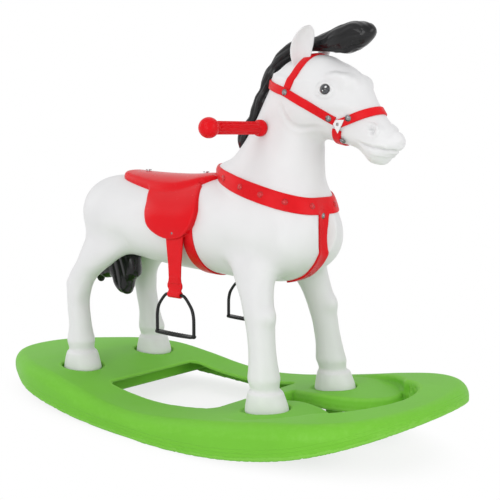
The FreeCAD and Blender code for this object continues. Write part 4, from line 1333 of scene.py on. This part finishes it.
# %% A socket that can be used in sums
class Wire:
    def __init__(self, tree, socket=None):
        self.tree, self.socket = tree, socket

    def add(self, kind, settings=None, sockets=None, out=0):
        """Any node: its settings first, then the values or links of its sockets."""
        node = self.tree.nodes.new(kind)
        for key, value in (settings or {}).items():
            if key == "stops":
                while len(node.color_ramp.elements) < len(value):
                    node.color_ramp.elements.new(0.5)
                for stop, (place, colour) in zip(node.color_ramp.elements, value):
                    stop.position, stop.color = place, colour
            else:
                setattr(node, key, value)
        for key, value in (sockets or {}).items():
            if isinstance(value, Wire):
                self.tree.links.new(value.socket, node.inputs[key])
            else:
                node.inputs[key].default_value = value
        return Wire(self.tree, node.outputs[out])

    def math(self, how, a, b=0.0):
        return self.add("ShaderNodeMath", {"operation": how}, {0: a, 1: b})

    def __add__(self, other):
        return self.math("ADD", self, other)

    def __sub__(self, other):
        return self.math("SUBTRACT", self, other)

    def __mul__(self, other):
        return self.math("MULTIPLY", self, other)

    def __rsub__(self, other):
        return self.math("SUBTRACT", other, self)

    __radd__, __rmul__ = __add__, __mul__

    def clamp(self, low, high, to_low=0.0, to_high=1.0):
        """Value rescaled from low..high, and held inside its new range."""
        return self.add("ShaderNodeMapRange", {"interpolation_type": "SMOOTHSTEP"},
                        {0: self, 1: low, 2: high, 3: to_low, 4: to_high})

    def mix(self, a, b):
        """Colour a where this value is 0, colour b where it is 1."""
        return self.add("ShaderNodeMix", {"data_type": "RGBA"}, {0: self, 6: a, 7: b}, 2)


def spots(tree, place, scale, detail=2.0, rough=0.5, stretch=None):
    """Cloudy noise over a place, as a value around one half."""
    wire = Wire(tree)
    if stretch:
        place = wire.add("ShaderNodeMapping", None, {"Vector": place, "Scale": stretch}, "Vector")
    return wire.add("ShaderNodeTexNoise", None,
                    {"Vector": place, "Scale": scale, "Detail": detail, "Roughness": rough}, "Fac")


def grey(level):
    return (level, level, level, 1)


def attribute(tree, name, out="Fac"):
    return Wire(tree).add("ShaderNodeAttribute", {"attribute_name": name}, None, out)


def begin(stuff):
    """The material's shader, its tree and object coordinates."""
    tree = stuff.node_tree
    shader = tree.nodes["Principled BSDF"]
    return shader, tree, Wire(tree).add("ShaderNodeTexCoord", None, None, "Object")


def plug(shader, tree, name, wire):
    tree.links.new(wire.socket, shader.inputs[name])


def bump(tree, shader, height, distance, strength):
    way = Wire(tree).add("ShaderNodeBump", None,
                         {"Height": height, "Distance": distance, "Strength": strength}, "Normal")
    plug(shader, tree, "Normal", way)


# %% [markdown]
# ## Worn ridges and painted shade in hollows
# Toys rub pale and matt on their ridges; their hollows here get painted shade,
# a darker colour. Each corner of a mesh is compared with the middle of its
# neighbours: ahead of them it is on a ridge, behind them in a hollow. The
# number is kept on the mesh for the materials to read.

# %% Ridge and hollow numbers
def mark_edges(piece, points, faces, scale):
    normals = skin_normals(points, faces)
    bent = ((points - relax(points, faces, 4)) * normals).sum(1) / scale
    value = np.clip(relax(np.stack([bent] * 3, 1), faces, 2)[:, 0], -1, 1)
    tag(piece, "edge", value)
    print(piece.name, "ridge", round(float(value.max()), 2), "hollow", round(float(value.min()), 2))


mark_edges(body_skin, body_points, body_faces, 0.9)
mark_edges(head_skin, head_points, head_faces, 0.7)
mark_edges(saddle, saddle_points, saddle_faces, 0.5)
mark_edges(rocker, rocker_points, rocker_faces, 0.8)

# %% [markdown]
# ## Moulded plastic
# White, green and red plastic share one recipe: a colour with slow, faint
# clouding, paler rubbed ridges, painted shade in the hollows, a fine
# orange-peel grain, and a gloss that wanders a little. What differs is how strong each is.

# %% Plastic recipe
def moulded(stuff, colour, rubbed, dusty, rough, grain, shine, extra=None):
    shader, tree, place = begin(stuff)
    cloud = spots(tree, place, 5.5, 3.0)
    fleck = spots(tree, place, 95.0, 4.0, 0.6)
    scuff = spots(tree, place, 34.0, 5.0, 0.7, (1.0, 2.4, 1.6)).clamp(0.60, 0.76)
    edge = attribute(tree, "edge")
    ridge = (edge + fleck * 0.5).clamp(0.38, 0.85)
    hollow = (edge * -1.0 + fleck * 0.3).clamp(0.35, 1.0)
    tint = [min(1.0, c * 0.955) for c in colour[:3]] + [1]
    glow = [min(1.0, c * 1.03) for c in colour[:3]] + [1]
    base = cloud.clamp(0.3, 0.7).mix(tint, glow)
    base = (ridge * 0.5).mix(base, rubbed)
    # Painted shade: the colour darkens towards a deeper tone in the hollows.
    base = (hollow * 0.45).mix(base, dusty)
    plug(shader, tree, "Base Color", base)
    plug(shader, tree, "Roughness", cloud * 0.08 + scuff * 0.12 + ridge * 0.12 + (rough - 0.04))
    height = spots(tree, place, 620.0, 2.0) * 0.16 + spots(tree, place, 26.0, 2.0) * grain
    if extra:
        height = height + extra(tree, place)
    bump(tree, shader, height, 0.0009, 0.55)
    shader.inputs["Specular IOR Level"].default_value = shine
    stuff.diffuse_color = colour


# %% Seams and grooves as height
def mould_seam(tree, place):
    """The faint line where the two halves of the mould met."""
    side = Wire(tree).add("ShaderNodeSeparateXYZ", None, {0: place}, "Y")
    return (1.0 - Wire(tree).math("ABSOLUTE", side).clamp(0.0, 0.0011)) * 0.35


def rail_grooves(tree, place):
    """Three lines pressed along the lower edge of the rocker's outer wall."""
    level, inset = attribute(tree, "above_edge"), attribute(tree, "inset")
    total = None
    for height in (0.0060, 0.0125, 0.0190):
        near = Wire(tree).math("ABSOLUTE", level - height)
        line = 1.0 - near.clamp(0.0004, 0.0018)
        total = line if total is None else total + line
    return total * (1.0 - inset.clamp(0.006, 0.012)) * -0.9


# In each finish below the third colour is the rubbed ridge and the fourth the painted shade of the hollows.
moulded(white_shell, (0.73, 0.73, 0.733, 1), grey(0.77), grey(0.60), 0.36, 0.35, 0.3, mould_seam)
moulded(green_shell, (0.165, 0.50, 0.038, 1), (0.25, 0.60, 0.09, 1), (0.10, 0.33, 0.03, 1),
        0.46, 0.6, 0.12, rail_grooves)
moulded(red_gloss, (0.68, 0.005, 0.010, 1), (0.72, 0.014, 0.02, 1), (0.42, 0.005, 0.007, 1), 0.24, 0.3, 0.12)
moulded(white_trim, grey(0.80), grey(0.85), grey(0.6), 0.25, 0.2, 0.4)
moulded(black_nylon, (0.008, 0.008, 0.009, 1), grey(0.03), grey(0.005), 0.36, 0.5, 0.3)

# %% [markdown]
# ## Vinyl, hair, metal and the eye
# Strap vinyl has a finer, tighter grain than the saddle. The hair is moulded
# gloss black with streaks that follow each lock. Rivets and screws are bare
# metal with hairline scratches. The eye is painted: a black pupil, a dark
# iris with fine spokes, a pale rim and two painted highlights, under a clear coat.

# %% Strap vinyl
shader, tree, place = begin(red_vinyl)
cloud = spots(tree, place, 14.0, 3.0)
leather = Wire(tree).add("ShaderNodeTexVoronoi", {"feature": "DISTANCE_TO_EDGE"},
                         {"Vector": place, "Scale": 620.0})
plug(shader, tree, "Base Color", cloud.clamp(0.3, 0.7).mix((0.64, 0.006, 0.010, 1), (0.72, 0.010, 0.015, 1)))
plug(shader, tree, "Roughness", cloud * 0.14 + spots(tree, place, 160.0, 3.0) * 0.10 + 0.18)
bump(tree, shader, leather.clamp(0.0, 0.25) * 0.16 + spots(tree, place, 70.0, 3.0) * 0.30, 0.0008, 0.5)
shader.inputs["Specular IOR Level"].default_value = 0.12

# %% Hair gloss
shader, tree, place = begin(black_hair)
comb = attribute(tree, "comb", "Vector")
streak = spots(tree, comb, 1.0, 3.0, 0.6)
cloud = spots(tree, place, 30.0, 2.0)
plug(shader, tree, "Base Color",
     streak.clamp(0.35, 0.7).mix((0.003, 0.003, 0.0035, 1), (0.010, 0.010, 0.011, 1)))
plug(shader, tree, "Roughness", streak * 0.12 + cloud * 0.08 + 0.10)
bump(tree, shader, streak * 0.3 + cloud * 0.06, 0.0009, 0.4)
shader.inputs["Specular IOR Level"].default_value = 0.36

# %% Bare metals
metals = ((steel, 0.42, 0.60, 0.26), (rivet_metal, 0.40, 0.55, 0.17), (studs, 0.20, 0.34, 0.17))
painted_red = (0.55, 0.008, 0.012, 1)
for stuff, low, high, rough in metals:
    shader, tree, place = begin(stuff)
    hairline = spots(tree, place, 300.0, 4.0, 0.7, (1.0, 1.0, 7.0))
    tarnish = spots(tree, place, 60.0, 3.0)
    bare = tarnish.clamp(0.3, 0.7).mix((low, low, low * 1.01, 1), (high, high, high * 1.02, 1))
    colour = attribute(tree, "metal").mix(painted_red, bare) if stuff is studs else bare
    plug(shader, tree, "Base Color", colour)
    plug(shader, tree, "Roughness", hairline * 0.16 + tarnish * 0.08 + (rough - 0.10))
    bump(tree, shader, hairline, 0.0003, 0.35)
    if stuff is studs:
        plug(shader, tree, "Metallic", attribute(tree, "metal"))
    else:
        shader.inputs["Metallic"].default_value = 1.0

# %% Painted eye
shader, tree, place = begin(eye_gloss)
gaze = attribute(tree, "gaze", "Vector")
across = Wire(tree).add("ShaderNodeSeparateXYZ", None, {0: gaze}, "X")
above = Wire(tree).add("ShaderNodeSeparateXYZ", None, {0: gaze}, "Y")
far = Wire(tree).math("SQRT", across * across + above * above)
flat = Wire(tree).add("ShaderNodeCombineXYZ", None, {0: across, 1: above})
ray = Wire(tree).add("ShaderNodeVectorMath", {"operation": "NORMALIZE"}, {0: flat})
spoke = spots(tree, ray, 6.0, 4.0)
iris = spoke.clamp(0.38, 0.62).mix((0.012, 0.013, 0.016, 1), (0.060, 0.064, 0.075, 1))
white = spots(tree, place, 200.0, 2.0).mix((0.60, 0.59, 0.58, 1), (0.72, 0.71, 0.70, 1))
paint = far.clamp(0.26, 0.34).mix((0.003, 0.003, 0.003, 1), iris)
paint = far.clamp(0.60, 0.68).mix(paint, (0.006, 0.005, 0.005, 1))
paint = far.clamp(0.76, 0.82).mix(paint, white)
# Two painted highlights: pale spots on the iris where a lamp's reflection would be.
for right, up, wide in ((-0.20, 0.30, 0.17), (0.26, -0.24, 0.10)):
    gap = Wire(tree).math("SQRT", (across - right) * (across - right) + (above - up) * (above - up))
    paint = (1.0 - gap.clamp(wide * 0.8, wide)).mix(paint, (0.8, 0.8, 0.8, 1))
plug(shader, tree, "Base Color", paint)
plug(shader, tree, "Roughness", spots(tree, place, 90.0) * 0.08 + 0.05)
shader.inputs["Coat Weight"].default_value = 0.6
print("finishes", sorted(m.name for m in bpy.data.materials if m.use_nodes and m.name in globals()))

# %% [markdown]
# ## Every piece gets its finish and its body
# A piece rides on one body of the engineering model, so it moves with that
# body's joints. It also says which parts of the model it stands for, and those
# are hidden. The screws, washers, inserts, tube and pivot rivets are already
# right, so they stay and only get a better metal.

# %% Dress and mount the pieces
def dress(piece, stuff, slot, body, *stands_for):
    piece.data.materials.clear()
    piece.data.materials.append(stuff)
    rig.slot(piece, slot)
    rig.ride(piece, body)
    if stands_for:
        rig.replaces(piece, *stands_for)


dress(body_skin, white_shell, "white_shell", "horse", "body_shell")
dress(head_skin, white_shell, "white_shell", "horse", "head_shell")
dress(rocker, green_shell, "green_shell", "horse", "rocker_base")
dress(saddle, red_gloss, "red_plastic", "horse", "saddle")
for piece, node in ((collar, "collar_strap"), (breast, "breast_strap"), (girth, "girth_strap"),
                    (cheek_strap, "cheek_strap"), (brow_band, "brow_band"), (nose_band, "nose_band"),
                    (chin_strap, "chin_strap")):
    piece.name = node + "_vinyl"
    dress(piece, red_vinyl, "red_strap", "horse", node)
dress(collar_dots, studs, "rivet", "horse", "collar_rivets")
dress(pivot_caps, studs, "rivet", "horse")
dress(bridle_dots, studs, "rivet", "horse", "bridle_rivets")
for piece, node in ((mane, "mane"), (forelock, "forelock"), (tail, "tail")):
    dress(piece, black_hair, "black_hair", "horse", node)
for word, side in hands:
    dress(ears[side], white_shell, "white_shell", "horse", "ear_" + word)
    dress(eyes[side], eye_gloss, "eye", "horse", "eye_" + word)
    dress(grips[side], red_gloss, "red_plastic", "horse", "grip_" + word)
    dress(rings[side], white_trim, "white_trim", "horse", "bridle_ring_" + word)
    dress(leathers[side], red_vinyl, "red_strap", "leather_" + word, "stirrup_leather_" + word)
    dress(stirrups[side], black_nylon, "black_plastic", "stirrup_" + word, "stirrup_" + word)
kept = {"hoof_screws": steel, "hoof_washers": steel, "handle_tube": steel, "saddle_screws": steel,
        "hoof_inserts": black_nylon, "pivot_rivet_left": rivet_metal, "pivot_rivet_right": rivet_metal}
for node, stuff in kept.items():
    for slot in frame["nodes"][node].material_slots:
        slot.material = stuff
print("engineering parts still shown", sorted(kept))

# %% [markdown]
# ## Studio
# Five large soft lamps, the strongest low in front and high on the left, and
# an even pale world. They are set so that a colour looks as it is written. The floor
# keeps the rocker's shadow near the toy and fades to plain white further out.

# %% Lamps
def lamp(name, place, aim, size, power):
    light = bpy.data.lights.new(name, "AREA")
    light.shape, light.size, light.energy = "DISK", size, power
    holder = bpy.data.objects.new(name, light)
    bpy.context.scene.collection.objects.link(holder)
    holder.location = place
    holder.rotation_mode = "QUATERNION"
    holder.rotation_quaternion = (Vector(aim) - Vector(place)).to_track_quat("-Z", "Y")


lamp("key", (0.2, -2.6, 2.6), (0.05, 0, 0.35), 1.8, 13)
lamp("fill", (2.6, 0.2, 1.1), (0.1, 0, 0.25), 1.8, 12)
lamp("low", (0.9, -2.7, 0.40), (0, 0, 0.15), 1.8, 19)
lamp("top", (-0.4, 0.8, 2.8), (0, 0, 0.3), 2.2, 5)
lamp("back", (-2.4, -0.8, 1.4), (0, 0, 0.35), 1.6, 5)

# %% World and floor
world = bpy.data.worlds.new("studio")
bpy.context.scene.world = world
world.use_nodes = True
air = Wire(world.node_tree)
kinds = ("Camera", "Glossy", "Transmission")
rays = [air.add("ShaderNodeLightPath", None, None, "Is %s Ray" % kind) for kind in kinds]
seen = air.math("MAXIMUM", air.math("MAXIMUM", rays[0], rays[1] * 0.36), rays[2])
sky = world.node_tree.nodes["Background"]
world.node_tree.links.new(seen.clamp(0.0, 1.0).mix((0.79, 0.79, 0.795, 1), (1, 1, 1, 1)).socket, sky.inputs[0])
sky.inputs[1].default_value = 1.0

reach, below = 6000, -0.6
floor_corners = [(-reach, -reach, below), (reach, -reach, below), (reach, reach, below), (-reach, reach, below)]
floor = to_mesh("floor", floor_corners, [(0, 1, 2, 3)], False)
paper = finish_named("floor_paper")
floor.data.materials.append(paper)
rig.stage(floor)
shader, tree, place = begin(paper)
plug(shader, tree, "Base Color", spots(tree, place, 3.0).mix((0.86, 0.86, 0.86, 1), (0.88, 0.88, 0.88, 1)))
shader.inputs["Roughness"].default_value = 0.9
shader.inputs["Specular IOR Level"].default_value = 0.1
wire = Wire(tree)
spread = wire.add("ShaderNodeMapping", None, {"Vector": place, "Scale": (1.85, 4.2, 0.0)}, "Vector")
away = wire.add("ShaderNodeVectorMath", {"operation": "LENGTH"}, {0: spread}, "Value")
seen, shine, through_glass = (
    wire.add("ShaderNodeLightPath", None, None, "Is %s Ray" % kind) for kind in kinds)
clear = wire.math("MAXIMUM", seen, wire.math("MAXIMUM", shine, through_glass))
blank = wire.add("ShaderNodeEmission", None, {"Color": (1, 1, 1, 1), "Strength": 1.0})
both = wire.add("ShaderNodeMixShader", None, {
    0: clear * away.clamp(0.70, 1.12, 0.76, 1.0), 1: Wire(tree, shader.outputs[0]), 2: blank})
tree.links.new(both.socket, tree.nodes["Material Output"].inputs[0])

# %% View, and the boxes of the model and of what is shown
bpy.context.scene.view_settings.view_transform = "Standard"
shown_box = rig.bounds()
with open("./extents.json", "w") as note:
    json.dump({"cad": [list(v) for v in cad_box], "visual": [list(v) for v in shown_box]}, note)
print("cad box", [[round(c, 4) for c in v] for v in cad_box])
print("visual box", [[round(c, 4) for c in v] for v in shown_box])
